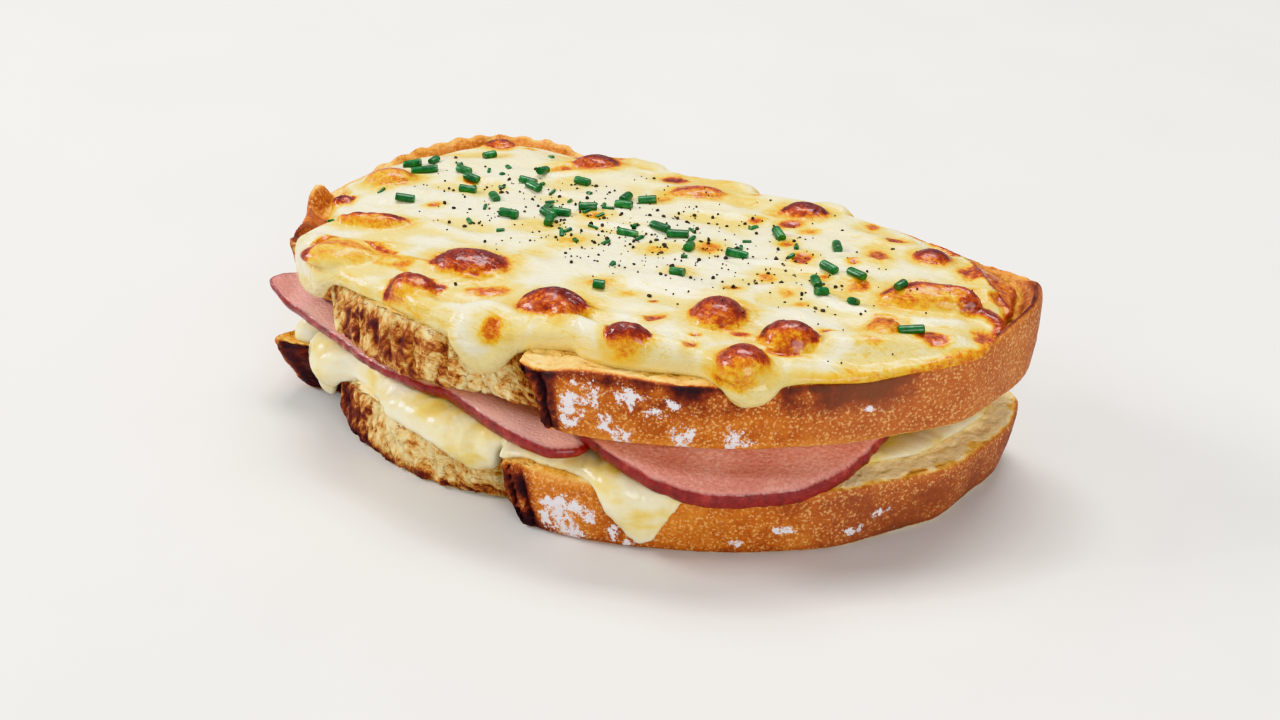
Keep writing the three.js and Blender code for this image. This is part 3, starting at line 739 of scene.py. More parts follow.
# %% Topping sheet
TOPPING_DEPTH = 3.9
TOPPING_VOXEL = 0.55
topping_reach = around([
    (0, 0), (5, -1.6), (9, -3.4), (14, -5.9), (22, -5.6), (28, -4.4), (38, -1.6), (49, -0.6),
    (54, 4.5), (58, 0.5), (72, -0.8), (84, 7), (89, 0.4), (104, -0.4), (113, 5.5), (119, 0.2),
    (130, -3), (138, -4.8), (150, -5.2), (162, -4.8), (172, -3), (181, -3.4), (184, -6.2),
    (188, -6.8), (192, -6.4), (196, -6.8), (200, -6.2), (202, -5), (203.4, -3.4), (204.3, 0),
    (205.2, 6), (206.6, 9.4), (208.5, 9.4), (211, 8.2), (213.5, 6), (216, 3.2), (219, 0.6),
    (223, -0.6), (227, -1), (231, -1.8), (236, -2), (243, -1.3), (249, -0.6), (253.5, 0.2),
    (256.5, 3), (259, 6.4), (262, 7.6), (266, 6.2), (270.5, 2.6), (273.5, 0.4), (275.5, -3),
    (277.5, -6.6), (281, -8.6), (285, -9), (288.5, -8.6), (292, -6.6), (296, -5.6), (300, -5),
    (304, -4.6), (308, -4.4), (313, -4.5), (318, -4.4), (320.5, -3.6), (322, -1.2), (323.5, 1.6),
    (325.8, 3.2), (328.2, 2.9), (330.5, 1.4), (333, -0.3), (337, -0.7), (346, 0), (353, -0.3),
])
# The lip is full at the bead and the drips, and thin where the cheese toasted onto the crust.
topping_roll = around([
    (0, 9), (30, 8), (60, 5), (110, 5), (135, 8), (165, 7), (190, 5), (205, 4.2), (268, 4.2),
    (282, 5), (310, 5), (322, 4.2), (331, 5), (342, 9),
])
topping_lip = around([
    (0, 0.5), (30, 0.6), (60, 0.9), (115, 0.9), (135, 0.6), (170, 0.7), (198, 0.7), (203.5, 0.6),
    (206.5, 1.25), (209, 1.1), (213, 0.8), (218, 0.9), (250, 1), (272, 1), (284, 1.3), (305, 1.3),
    (318, 1), (331, 1), (342, 0.6),
])


def topping_end(degrees):
    return wall_radius(upper, degrees) + WALL_SWELL + HANG_CLEAR + topping_reach(degrees)


def topping_depth(degrees, along):
    edge = wall_radius(upper, degrees)
    flat = TOPPING_DEPTH * mix(1, topping_lip(degrees), smoothstep(along - topping_end(degrees), -13, -2))
    hang = HANG_DEPTH + APRON["depth"] * bell((degrees - APRON["at"]) / APRON["reach"])
    return mix(flat, np.minimum(flat, hang), smoothstep(along - edge, -BEND, 2 * BEND))


def topping_height(points):
    degrees, along = polar(points)
    return skin_points(upper, degrees, along, topping_depth(degrees, along))[:, 2]


topping = cheese_sheet("cheese_browned", upper, topping_reach, topping_depth, topping_roll)

# %% Blisters
# A blister's middle x and y, length, width, height and turn; how toasted its foot and its crown are;
# and where across it the crown starts
BLISTERS = [
    (-20.5, -26.3, 16.5, 11.5, 3.6, 22, 0.48, 0.64, -0.4), (4, -32.5, 15.5, 11, 3.8, 20, 0.48, 0.72, 0.0),
    (33, -19.3, 11.5, 12, 3.8, 25, 0.45, 0.62, -0.3), (48.5, -20.3, 11.5, 9, 3.8, 20, 0.45, 0.66, -0.3),
    (45.5, -32.5, 10.6, 9.8, 3.4, 30, 0.35, 0.58, -0.45), (23, -35.8, 7.6, 7.2, 2, 25, 0.34, 0.64, -0.72),
    (-25.5, -39, 10.5, 8.5, 2.8, 0, 0.26, 0.6, -0.2), (64.5, 8.5, 20, 10, 2.8, 26, 0.34, 0.62, 0.0),
    (-50, -19.5, 15.5, 6.5, 2.2, 25, 0.34, 0.62, -0.1), (-61.5, 0, 12, 8.5, 2.6, 30, 0.32, 0.46, 0),
    (-47, -35.6, 17, 9, 2.1, 20, 0.08, 0.37, -0.1), (-26, 30.5, 11, 8, 2.2, 25, 0.44, 0.66, -0.1),
    (-52.5, 30, 8, 6, 1.8, 30, 0.42, 0.64, 0), (26.5, 31.3, 10.5, 6.5, 2, 20, 0.44, 0.66, -0.3),
    (58.5, 25, 8, 7.5, 2, 20, 0.42, 0.64, -0.3), (2, 27.3, 12, 5.5, 1.4, 30, 0.32, 0.48, 0),
    (61.5, -6.5, 8, 7, 1.7, 30, 0.34, 0.52, 0), (-64, -13.5, 5.5, 4.5, 1.5, 30, 0.46, 0.66, -0.3),
]
BLISTER_ROOT = 0.3
BLISTER_SUNK = 0.35


def add_blister(x, y, length, width, height, turn):
    deselect()
    bpy.ops.mesh.primitive_uv_sphere_add(segments=48, ring_count=24)
    dome = bpy.context.object
    points = points_of(dome)
    points[:, 2] *= np.where(points[:, 2] < 0, BLISTER_ROOT, 1)
    points *= (length / 2, width / 2, height * (1 + BLISTER_SUNK))
    angle = math.radians(turn)
    cos, sin = math.cos(angle), math.sin(angle)
    spin = np.array([(cos, sin, 0), (-sin, cos, 0), (0, 0, 1)])
    level = topping_height(np.array([(x, y, 0)]))[0] - height * BLISTER_SUNK
    put_points(dome, points @ spin + (x, y, level))
    return dome


joined([add_blister(*row[:6]) for row in BLISTERS], topping)
# A fold over the bloom and the bead along the front are rolls that meet at the drip between them
weld_roll(topping, [
    (-28.5, -39.5, 39.9, 3.2), (-22, -41, 39.8, 3.5), (-14, -42.2, 39.5, 3.4), (-8, -42.6, 38.6, 3.1)])
weld_roll(topping, [
    (-5, -42.5, 38, 3.6), (0, -41.6, 39.3, 3.5), (4.5, -39, 40, 3.3), (9, -37.3, 40.2, 3.2),
    (13, -36.4, 40.3, 3.1), (19, -35.4, 40.3, 3)])
even_skin(topping, TOPPING_VOXEL, 5)

# %% [markdown]
# Toasting runs through the colours of cheese in order: cream, butter yellow, gold, orange, red-brown
# and nearly black. One number from 0 to 1 per vertex holds how far it has gone, and the material
# turns it into colour. It is highest on the crowns of the blisters and fades out round them.

# %% How far the topping is toasted
PATCHES = [  # flat toasted patches: middle x and y, length, width, how toasted
    (19, 23, 4, 3, 0.42), (26, 25, 6, 4, 0.55), (31, 24, 4, 3, 0.3), (36, 11, 6, 7, 0.5),
    (30, 16, 5, 5, 0.42), (33, 1, 5, 5, 0.38), (43, 6, 4, 3, 0.34), (51, 6, 7, 7, 0.38),
    (52, 7, 3, 5, 0.5), (49, 20, 6, 9, 0.46), (46, 14, 3, 3, 0.4), (49, 29, 6, 4, 0.48),
    (41, 34, 4, 4, 0.42), (61, -5, 8, 8, 0.44), (62, -5, 4, 6, 0.54), (54, -14, 5, 3, 0.5),
    (30, -8, 5, 4, 0.42), (40, -3, 5, 5, 0.34), (23, -26, 6, 5, 0.52), (34, -32, 4, 4, 0.52),
    (33, -28, 3, 2, 0.5), (40, -23, 5, 2, 0.5), (50, -25, 9, 4, 0.46), (63, -21, 6, 6, 0.26),
    (70, -15, 10, 6, 0.26), (75, 10.5, 14, 4, 0.62), (63, -13, 7, 3, 0.3), (71, -5, 7, 5, 0.5),
    (79, 3, 7, 10, 0.52), (68, 24, 8, 8, 0.44), (76, 18, 7, 6, 0.42), (70, 16, 6, 4, 0.34),
    (-50, 35, 9, 3, 0.6), (-44, 30, 3, 2, 0.5), (-33, 35, 5, 4, 0.5),
    (-25, 36, 7, 5, 0.42), (-31, 24, 7, 4, 0.36), (-7, 32, 8, 5, 0.6), (-9, -6, 10, 6, 0.28),
    (-11, 6, 7, 5, 0.36), (8, 0, 9, 5, 0.3), (17, 6, 7, 6, 0.38), (-3, 21, 6, 4, 0.32),
    (17, -7, 6, 4, 0.36), (-45, 8, 5, 4, 0.46), (-67, 13, 7, 3, 0.5), (-44, -7, 5, 3, 0.42),
    (-41, -28, 9, 6, 0.26), (-33, -33, 9, 3, 0.38), (-12, -33, 12, 5, 0.42), (-19, -40, 4, 2, 0.3),
    (6, -20, 9, 5, 0.3), (13, -20, 6, 3, 0.28), (19, -20, 3, 2, 0.56), (-2.3, -44.4, 8, 6.4, 0.41),
    (-20, -4, 10, 5, 0.2), (13, 34, 5, 3, 0.4), (44, -6, 5, 3, 0.34),
]
CRESTS = [  # toasted lines along folds: half width, how toasted, and places in the plan
    (1.4, 0.5, [(-51.5, -41.5), (-54, -38), (-54, -35), (-52, -31.8), (-48, -29.8), (-43, -29.4),
                (-37, -30.2)]),
    (1.2, 0.34, [(-43, -32), (-34, -31.3), (-27, -29.6)]), (1, 0.3, [(-40, -34), (-31, -34)]),
    (3.6, 0.28, [(-50, -33.5), (-44, -31.5), (-37, -32)]), (2, 0.56, [(-53, -39.5), (-53, -35)]),
    (3, 0.28, [(-50.8, -38.8), (-46, -37.4), (-41.5, -35.6)]),
    (1.5, 0.64, [(-29.4, -41.9), (-28.9, -40.6), (-27, -39.7), (-25, -38.8), (-22.6, -38),
                 (-20.2, -36.4)]),
    (2.4, 0.42, [(-28.6, -42.2), (-26.2, -41.2), (-23.6, -40.2), (-21, -38.4)]),
    (3.6, 0.29, [(-27.4, -42.8), (-24, -41.6), (-21, -40)]),
    (1.7, 0.62, [(57.3, 5), (58, 9), (61, 12.6), (65, 13.4), (69, 12.6), (74.5, 10.9), (80, 9)]),
]
SWELLS = [  # folds of the cheese: middle x and y, length, width, turn, how high
    (-6, -40, 12, 10, 20, 2.0), (60, -15, 30, 8, 35, 1.3), (75, -2, 14, 8, 60, 0.9),
    (56, -8, 22, 6, 32, -0.9), (74, 17, 26, 4, -55, 0.9), (-46, -29, 34, 5, 25, 0.8),
    (-38, -24, 26, 5, 22, -0.7), (-12, -38, 24, 5, 10, -0.7), (-30, -31, 22, 6, 0, 0.6),
    (-58, -25, 16, 6, 45, 0.9), (16, -26, 20, 5, 15, -0.8), (40, -26, 16, 4, 35, -0.7),
    (-55, -8, 18, 7, 30, 0.7), (20, -12, 34, 7, 12, 0.6), (-5, -17, 40, 7, 14, 0.5),
    (45, 16, 22, 8, 30, 0.6), (10, 31, 40, 6, 10, 0.6), (-40, 24, 34, 7, 15, 0.5),
    (30, 24, 26, 7, 20, -0.6), (75, 10.5, 16, 5, -15, 1.5), (62, -12, 30, 6, 32, 0.9),
]
margin_toast = around([
    (0, 0.37), (10, 0.56), (30, 0.56), (50, 0.36), (90, 0.3), (130, 0.42), (150, 0.46), (175, 0.34),
    (195, 0.3), (205, 0.1), (330, 0.1), (340, 0.22), (351, 0.28),
])
PATCH_TURN = 30
STANDS = (37, 40.5)  # from the first height to the second the cheese comes within the grill's reach
# A fold runs round the right end: past it the cheese is a thin film toasted onto the rim
FOLD_SPAN = (9, 34, 3)
rim_fold = around([
    (0, 80), (9, 83), (12, 82.5), (16, 79.5), (20.5, 75), (25, 73.5), (29.5, 71.8), (34, 67),
    (60, 40), (200, 60), (300, 44),
])
# Along the front the cheese gathered in a bead, with a groove behind it
BEAD_SPAN = (284, 317, 5)
BEAD = dict(height=1.3, middle=3.4, reach=3.4)
GROOVE = dict(depth=1.1, middle=7.6, reach=2)


def local(points, x, y, length, width, turn):
    """Place in an ellipse of the plan: along and across it, 1 on its outline."""
    angle = math.radians(turn)
    dx, dy = points[:, 0] - x, points[:, 1] - y
    u = (dx * math.cos(angle) + dy * math.sin(angle)) / (length / 2)
    v = (dy * math.cos(angle) - dx * math.sin(angle)) / (width / 2)
    return u, v


def off_line(points, path):
    """How far each point is from a line of places in the plan."""
    nearest = np.full(len(points), np.inf)
    for start, end in zip(path[:-1], path[1:]):
        start, step = np.array(start, float), np.subtract(end, start)
        share = np.clip((points[:, :2] - start) @ step / (step @ step), 0, 1)
        nearest = np.minimum(nearest, np.hypot(*(points[:, :2] - start - share[:, None] * step).T))
    return nearest


def margin_of(points):
    """How far a point of the topping is from its lip, in mm."""
    degrees, radius = polar(points)
    sunk = np.clip(upper.base + SLICE + 1 - points[:, 2], 0, None)
    return topping_end(unleaned(upper, degrees, points[:, 2])) - radius - sunk


def past_fold(points):
    """How far each point is past the fold, and 1 where the fold runs."""
    degrees, radius = polar(points)
    return radius - rim_fold(degrees), window(degrees, *FOLD_SPAN)


def folds(points):
    """Crests, up to 1, of the folds in which the cheese flowed and set, and the hollows between."""
    along, across = points[:, 0] + 0.45 * points[:, 1], points[:, 1] - 0.3 * points[:, 0]
    warp = noise(points[:, 0] / 13, points[:, 1] / 13, 3)
    broad = 1 - 2.2 * np.abs(noise(along / 19, across / 6.5 + 0.8 * warp, 7))
    fine = 1 - 2.2 * np.abs(noise(along / 9, across / 4 + 1.2 * warp, 9))
    return 0.75 * broad + 0.25 * fine


def toasted_topping(points):
    """How far each point is toasted, from 0 to 1."""
    wobble = 0.32 * rough(points, 5, 13) + 0.2 * rough(points, 1.8, 17)
    hollows = smoothstep(0.3 - folds(points) + 0.5 * rough(points, 11, 21), 0.0, 0.8)
    toast = 0.01 + 0.15 * hollows
    stands = smoothstep(points[:, 2], *STANDS)
    for x, y, length, width, height, turn, foot, top, start in BLISTERS:
        u, v = local(points, x, y, length, width, turn)
        out = np.hypot(u, v)
        crown = smoothstep(v + 0.6 * wobble, start - 0.3, start + 0.3)
        core = mix(foot, top, crown) * faded(out + 0.4 * wobble, 0.82, 1.1)
        gold = min(foot, 0.32) * faded(out + 0.5 * wobble, 0.9, 1.4)
        halo = 0.22 * min(1, foot / 0.3) * faded(out + wobble, 1.0, 2.0)
        toast = np.maximum(toast, np.maximum.reduce([core, gold, halo]) * stands)
    for x, y, length, width, depth in PATCHES:
        out = np.hypot(*local(points, x, y, length, width, PATCH_TURN)) + wobble
        patch = np.maximum(depth * faded(out, 0.3, 1.3), 0.17 * faded(out, 0.9, 2.0))
        toast = np.maximum(toast, patch * stands)
    for wide, depth, path in CRESTS:
        line = depth * faded(off_line(points, path) / wide + 0.8 * wobble, 0.2, 1.3)
        toast = np.maximum(toast, line * stands)
    # The back is toasted a little more all over: partly real toasting, partly painted shade that darkens the
    # back, which the overhead panel lights brightly
    toast = toast + 0.05 * smoothstep(points[:, 1], 5, 30) * stands
    near_lip = faded(margin_of(points) + 5 * wobble, 0.3, 4)
    toast = np.maximum(toast, margin_toast(polar(points)[0]) * near_lip)
    past, at_end = past_fold(points)
    film = at_end * np.maximum(0.6 * bell(past / 1.2), 0.42 * smoothstep(past, 0, 1))
    toast = np.maximum(toast, film)
    return np.clip(toast + 0.13 * rough(points, 1.7, 27) * smoothstep(toast, 0.2, 0.6), 0, 1)


def finish_topping(piece):
    points, normals = points_of(piece), points_of(piece, "normal")
    toast, margin = toasted_topping(points), margin_of(points)
    flat = faded(toast, 0.3, 0.45) * smoothstep(margin, 1, 4)
    relief = 0.45 * rough(points, 9, 31) + 0.08 * rough(points, 2.8, 33)
    relief = relief + 0.7 * folds(points) * flat
    bead = BEAD["height"] * bell((margin - BEAD["middle"]) / BEAD["reach"])
    groove = GROOVE["depth"] * bell((margin - GROOVE["middle"]) / GROOVE["reach"])
    relief = relief + window(polar(points)[0], *BEAD_SPAN) * (bead - groove)
    past, at_end = past_fold(points)
    relief = relief + 0.7 * at_end * bell(past / 1.4)
    for x, y, length, width, turn, height in SWELLS:
        relief = relief + height * bell(np.hypot(*local(points, x, y, length, width, turn)) / 1.3)
    wrinkles = 0.3 * faded(np.abs(rough(points, 2.4, 35)), 0, 0.16) * smoothstep(toast, 0.4, 0.7)
    open_side = smoothstep(normals[:, 2], -0.5, 0.1)
    put_points(piece, points + normals * ((relief - wrinkles) * open_side)[:, None])
    print(piece.name, "toasted on average", toast.mean().round(2))
    paint(piece, "toast", toast)
    paint(piece, "thin", faded(margin, 0.3, 2.6) * faded(toast, 0.2, 0.4))


finish_topping(topping)


# %% [markdown]
# ## Chives and pepper
# Chives are thin leaves cut with scissors, so each piece is a short round stick, pressed a little
# flat. One is modelled, and every chive and scrap is a copy of it dropped on the cheese. Pepper is
# cracked, not round, so a grain is a low ball with few faces, pulled out of shape.

# %% Surface to drop on
dropped_on = BVHTree.FromPolygons(
    [Vector(p) for p in points_of(topping)], [tuple(f.vertices) for f in topping.data.polygons])


DROP_HEIGHT = 80


def landing(x, y):
    """Place and normal of the topping's surface under a point of the plan."""
    place, normal, *_ = dropped_on.ray_cast(Vector((x, y, DROP_HEIGHT)), Vector((0, 0, -1)))
    return place, normal


# %% Chives
rng = np.random.default_rng(7)
CHIVES = [  # middle x and y, length, turn
    (-62, 9, 4.2, 20), (-57, 7, 6, 35), (-58, 12, 2.4, 80), (-49, 11, 3.4, 5), (-45, 8.5, 3.6, 0),
    (-49, 21, 3, 50), (-43, 4, 3.8, 10), (-51, -8, 4.2, 25), (-35, 3, 3.6, 140), (-27, -3, 4.2, 5),
    (-33, 19, 3.6, 100), (-33, 13, 4, 10), (-30, 11, 3.8, 0), (-18, -1, 3.6, 120), (-18, 3.5, 4.2, 8),
    (-20, 1.5, 3.6, 0), (-14, 8, 4, 25), (-23, 20, 3.6, 12), (-10, 17, 3.2, 100), (-5, 18, 4, 20),
    (-8, 13, 3.8, 10), (-1, 3, 4.4, 12), (4, 8, 4.4, 5), (9, 7, 4.6, 20), (14, 3, 3, 100),
    (27, 18, 3.6, 130), (40, 19, 3.6, 130), (24, 5, 4.6, 15), (43, 9, 3.8, 160), (49, 9, 4, 165),
    (43, 3, 3.6, 120), (46, -1, 2.6, 60), (53, -1, 2.4, 90), (60, 6, 2.4, 60), (67, -5, 5, 30),
    (7, -21, 2.4, 20), (18, -9, 3, 0),
]
CHIVE = dict(radius=1.03, flat=(0.75, 0.95), stray=(-12, 12), tilt=(-0.12, 0.12), sunk=0.4)
# The x and y of scraps and grains are the mean and spread of their places
SCRAPS = dict(
    count=46, x=(-8, 26), y=(6, 9), length=(1.2, 2.4), width=(0.35, 0.6), height=(0.25, 0.4),
    tilt=(-0.1, 0.1), sunk=0.2)
GRAINS = dict(
    count=540, x=(5, 27), y=(4, 11), smallest=0.2, growth=0.42, squeeze=(0.6, 1.2), turn=(0, 6.3),
    sunk=0.08)
CREASE = math.radians(40)


def chive_model():
    """One chive of length 1 along X: a short round stick with bevelled ends."""
    deselect()
    bpy.ops.mesh.primitive_cylinder_add(vertices=12, radius=1, depth=1, rotation=(0, math.pi / 2, 0))
    model = bpy.context.object
    bpy.ops.object.transform_apply(location=False, rotation=True, scale=False)
    applied(model, "BEVEL", width=0.12, segments=2, limit_method="ANGLE")
    return model


def scatter(model, name, rows):
    """Copies of a model, each scaled, turned and dropped on the topping, joined into one piece."""
    copies = []
    for x, y, size, turn, tilt, sunk in rows:
        place, normal = landing(x, y)
        if place is None:
            continue
        copy = model.copy()
        copy.data = model.data.copy()
        bpy.context.collection.objects.link(copy)
        level = Vector((math.cos(turn), math.sin(turn), 0))
        across = normal.cross(level).normalized()
        ahead = across.cross(normal).normalized()
        cos, sin = math.cos(tilt), math.sin(tilt)
        tip = np.array([(cos, 0, sin), (0, 1, 0), (-sin, 0, cos)])
        spun = points_of(copy) * size @ tip @ np.array([ahead, across, normal])
        put_points(copy, spun + np.array(place + normal * sunk))
        copies.append(copy)
    joined(copies[1:], copies[0])
    piece = bpy.context.object
    piece.name = name
    bpy.data.objects.remove(model)
    bpy.ops.object.shade_smooth_by_angle(angle=CREASE)
    print(name, len(rows), "pieces,", len(piece.data.polygons), "faces")
    return piece


whole = []
for x, y, length, turn in CHIVES:
    size = (length, CHIVE["radius"], CHIVE["radius"] * rng.uniform(*CHIVE["flat"]))
    turn = math.radians(turn + rng.uniform(*CHIVE["stray"]))
    whole.append((x, y, size, turn, rng.uniform(*CHIVE["tilt"]), CHIVE["radius"] - CHIVE["sunk"]))
scraps = []
for _ in range(SCRAPS["count"]):
    x, y = rng.normal(*SCRAPS["x"]), rng.normal(*SCRAPS["y"])
    size = tuple(rng.uniform(*SCRAPS[side]) for side in ("length", "width", "height"))
    turn = rng.uniform(0, math.pi)
    scraps.append((x, y, size, turn, rng.uniform(*SCRAPS["tilt"]), SCRAPS["sunk"]))
chives = scatter(chive_model(), "chives", whole + scraps)

# %% Pepper
deselect()
bpy.ops.mesh.primitive_ico_sphere_add(subdivisions=1, radius=1)
grain_model = bpy.context.object
grains = []
for _ in range(GRAINS["count"]):
    size = GRAINS["smallest"] + GRAINS["growth"] * rng.random() ** 3
    size = tuple(size * rng.uniform(*GRAINS["squeeze"], 3))
    x, y = rng.normal(*GRAINS["x"]), rng.normal(*GRAINS["y"])
    grains.append((x, y, size, rng.uniform(*GRAINS["turn"]), 0.0, GRAINS["sunk"]))
pepper = scatter(grain_model, "pepper", grains)

# %% [markdown]
# ## Finishes
# Each finish is a procedural material. Colour follows the painted numbers through a ramp, noise
# breaks the ramp's edges, and finer noise goes into roughness and bump.

# %% Tools for finishes
def linear(colour):
    """A colour as seen on a screen, 0 to 255, as linear light."""
    shares = np.array(colour) / 255
    light = np.where(shares <= 0.04045, shares / 12.92, ((shares + 0.055) / 1.055) ** 2.4)
    return (*light.tolist(), 1.0)


class Finish:
    """A material under construction. Each method adds a node and gives back its output."""

    def __init__(self, name, roughness=0.5, **sockets):
        self.material = bpy.data.materials.new(name)
        self.material.use_nodes = True
        self.nodes = self.material.node_tree.nodes
        self.shader = self.nodes["Principled BSDF"]
        self.shader.inputs["Roughness"].default_value = roughness
        for socket, value in sockets.items():
            self.shader.inputs[socket.replace("_", " ")].default_value = value
        self.place = self.nodes.new("ShaderNodeTexCoord").outputs["Object"]

    def node(self, kind, inputs, **settings):
        made = self.nodes.new(kind)
        for name, value in settings.items():
            setattr(made, name, value)
        for socket, source in inputs.items():
            if isinstance(source, bpy.types.NodeSocket):
                self.material.node_tree.links.new(source, made.inputs[socket])
            else:
                made.inputs[socket].default_value = source
        return made

    def painted(self, name, output="Fac"):
        return self.node("ShaderNodeAttribute", {}, attribute_name=name).outputs[output]

    def stretched(self, scale, place=None, turn=0.0):
        given = {"Vector": place or self.place, "Rotation": (0, 0, turn), "Scale": scale}
        return self.node("ShaderNodeMapping", given).outputs["Vector"]

    def noise(self, size, detail=3.0, place=None, per=1000, **inputs):
        """Noise with lumps of a size in mm, from 0 to 1. Per is 1 where the place is in mm."""
        given = {"Vector": place or self.place, "Scale": per / size, "Detail": detail, **inputs}
        return self.node("ShaderNodeTexNoise", given).outputs["Fac"]

    def cells(self, size):
        """Distance from the middle of the nearest cell, for cells of a size in mm."""
        given = {"Vector": self.place, "Scale": 1000 / size}
        return self.node("ShaderNodeTexVoronoi", given).outputs["Distance"]

    def maths(self, operation, first, second=0.0, third=0.0):
        given = {0: first, 1: second, 2: third}
        return self.node("ShaderNodeMath", given, operation=operation).outputs[0]

    def times(self, first, second):
        return self.maths("MULTIPLY", first, second)

    def added(self, base, value, share):
        return self.maths("MULTIPLY_ADD", value, share, base)

    def centred(self, noise):
        """Noise that has 0 in its middle."""
        return self.maths("SUBTRACT", noise, 0.5)

    def lines(self, noise, width):
        """Thin lines where noise passes its middle: 1 on a line, 0 off it."""
        return self.steps(self.maths("ABSOLUTE", self.centred(noise)), width, 0.0)

    def steps(self, value, low, high, to_low=0.0, to_high=1.0):
        given = {"Value": value, "From Min": low, "From Max": high, "To Min": to_low, "To Max": to_high}
        return self.node("ShaderNodeMapRange", given, interpolation_type="SMOOTHSTEP").outputs["Result"]

    def ramp(self, value, stops):
        made = self.node("ShaderNodeValToRGB", {"Fac": value})
        elements = made.color_ramp.elements
        while len(elements) < len(stops):
            elements.new(0.5)
        for element, (at, colour) in zip(elements, stops):
            element.position = at
            element.color = linear(colour)
        return made.outputs["Color"]

    def blend(self, share, first, second):
        """The first colour, or the second where share is 1. The sockets are those of colours."""
        first, second = (linear(c) if isinstance(c, tuple) else c for c in (first, second))
        return self.node("ShaderNodeMix", {0: share, 6: first, 7: second}, data_type="RGBA").outputs[2]

    def bumped(self, height, depth, normal=None):
        """A bump of a depth in mm. It can lie on another bump."""
        given = {"Height": height, "Distance": depth * MM, "Strength": 1.0}
        if normal is not None:
            given["Normal"] = normal
        return self.node("ShaderNodeBump", given).outputs["Normal"]

    def done(self, *pieces, **links):
        for socket, source in links.items():
            self.material.node_tree.links.new(source, self.shader.inputs[socket.replace("_", " ")])
        for piece in pieces:
            piece.data.materials.clear()
            piece.data.materials.append(self.material)
        print("finish", self.material.name, len(self.nodes), "nodes")


# %% Floor finish
pale = Finish("pale_floor", roughness=0.75)
grey = pale.ramp(pale.noise(60), [(0.3, (214, 212, 208)), (0.7, (220, 218, 214))])
pale.done(floor, Base_Color=grey)

# %% [markdown]
# ### Bread
# Three surfaces share one material: the crust, the cut faces and the torn bloom. Painted numbers
# say which is where and how toasted it is. White flour clings to the crust in patches.

# %% Where the bread is toasted, floured and torn
UPPER_FLOUR = [  # middle angle and height in the slice, half width in degrees, half height in mm
    (290, 6.5, 5, 7), (295.5, 10, 3, 3), (304, 11, 4.2, 3), (313.5, 10, 2.2, 2), (309.5, 8, 2.6, 1.8),
    (315.3, 3.4, 2.8, 3.4), (325, 3, 3.2, 3.6), (302.7, 2.2, 2.6, 2.4), (298.5, 5, 2.4, 3),
    (346, 8, 1.4, 1),
]
LOWER_FLOUR = [
    (285.5, 6, 6, 5.6), (292, 8, 3, 3), (300.3, 3.4, 2, 2.6), (295, 6, 2, 2.6), (290, 2, 3.4, 2.4),
    (304, 1.4, 2, 1.2), (334, 6, 2.4, 1.6), (326, 3, 1.8, 1.2), (345, 4, 2, 1.4), (350, 7, 2, 1.4),
]


def floured(skin, spots):
    field = np.zeros(len(skin.degrees))
    ragged = skin.lumps(3.5, 61)
    for degrees, up, wide, high in spots:
        out = np.hypot((skin.degrees - degrees) / wide, (skin.height - up) / high)
        field = np.maximum(field, faded(out + 0.5 * ragged, 0.2, 1.5))
    return field


def paint_bread(piece, skin, slice, toast, flour):
    toasted = np.clip(toast(skin), 0, 1)
    print(piece.name, "toasted on average", toasted.mean().round(2))
    paint(piece, "toast", toasted)
    paint(piece, "crumb", skin.cut)
    paint(piece, "torn", skin.wall * skin.torn)
    paint(piece, "flour", floured(skin, flour))
    paint(piece, "skin", skin.wall * (1 - skin.torn))
    # A duller, darker crust at the right end: partly the crust's own tone, partly painted shade on its
    # shadowed side
    paint(piece, "dull_and_shade", skin.span(-12, 40, 20) * skin.wall)
    paint(piece, "strand", np.column_stack([skin.degrees * 0.95, skin.height, skin.inset]))
    paint(piece, "combed", smoothstep(skin.degrees, 226, 256))


def upper_toast(skin):
    up, span, lumps = skin.height, skin.span, skin.lumps
    # Crust: darker in patches under the lip of cheese, at the top edge and on the ears, paler at
    # the foot and at the back left
    crusty = 0.46 + 0.2 * lumps(12, 43) + 0.1 * lumps(4, 44)
    crusty += 0.34 * (1 + 1.5 * lumps(6, 57)) * smoothstep(up, 6, 12.5) * (span(307, 328) + span(332, 350))
    crusty += smoothstep(up, 12, 13.4) * (0.16 * span(278, 350) + 0.12 * span(282, 300))
    crusty -= 0.16 * faded(up, 0.4, 2.5)
    crusty += skin.ear * (0.5 * ear_grooves(skin) + 0.3 * lumps(3, 54))
    crusty += 0.36 * span(276, 285, 3)
    crusty -= 0.24 * span(125, 182, 6) * smoothstep(up, 10, 14)
    # Bloom: scorched in the middle and next to the ears
    torn = 0.14 + 0.29 * span(221, 249, 8) * mix(1, faded(up, 9, 13), 0.7)
    torn += 0.1 * span(205, 220, 5) + 0.2 * span(268, 275, 4) + 0.22 * lumps(7, 48)
    # Cut face: toasted on the raised rims
    cut = 0.16 + 0.24 * lumps(5, 45) + 0.26 * span(0, 34) + 0.16 * span(130, 180)
    cut += 0.66 * span(6, 21, 3) * bell((skin.inset - 2.2) / 2.2) + 0.5 * span(193, 203, 3)
    return skin.wall * mix(crusty, torn, skin.torn) + skin.cut * cut


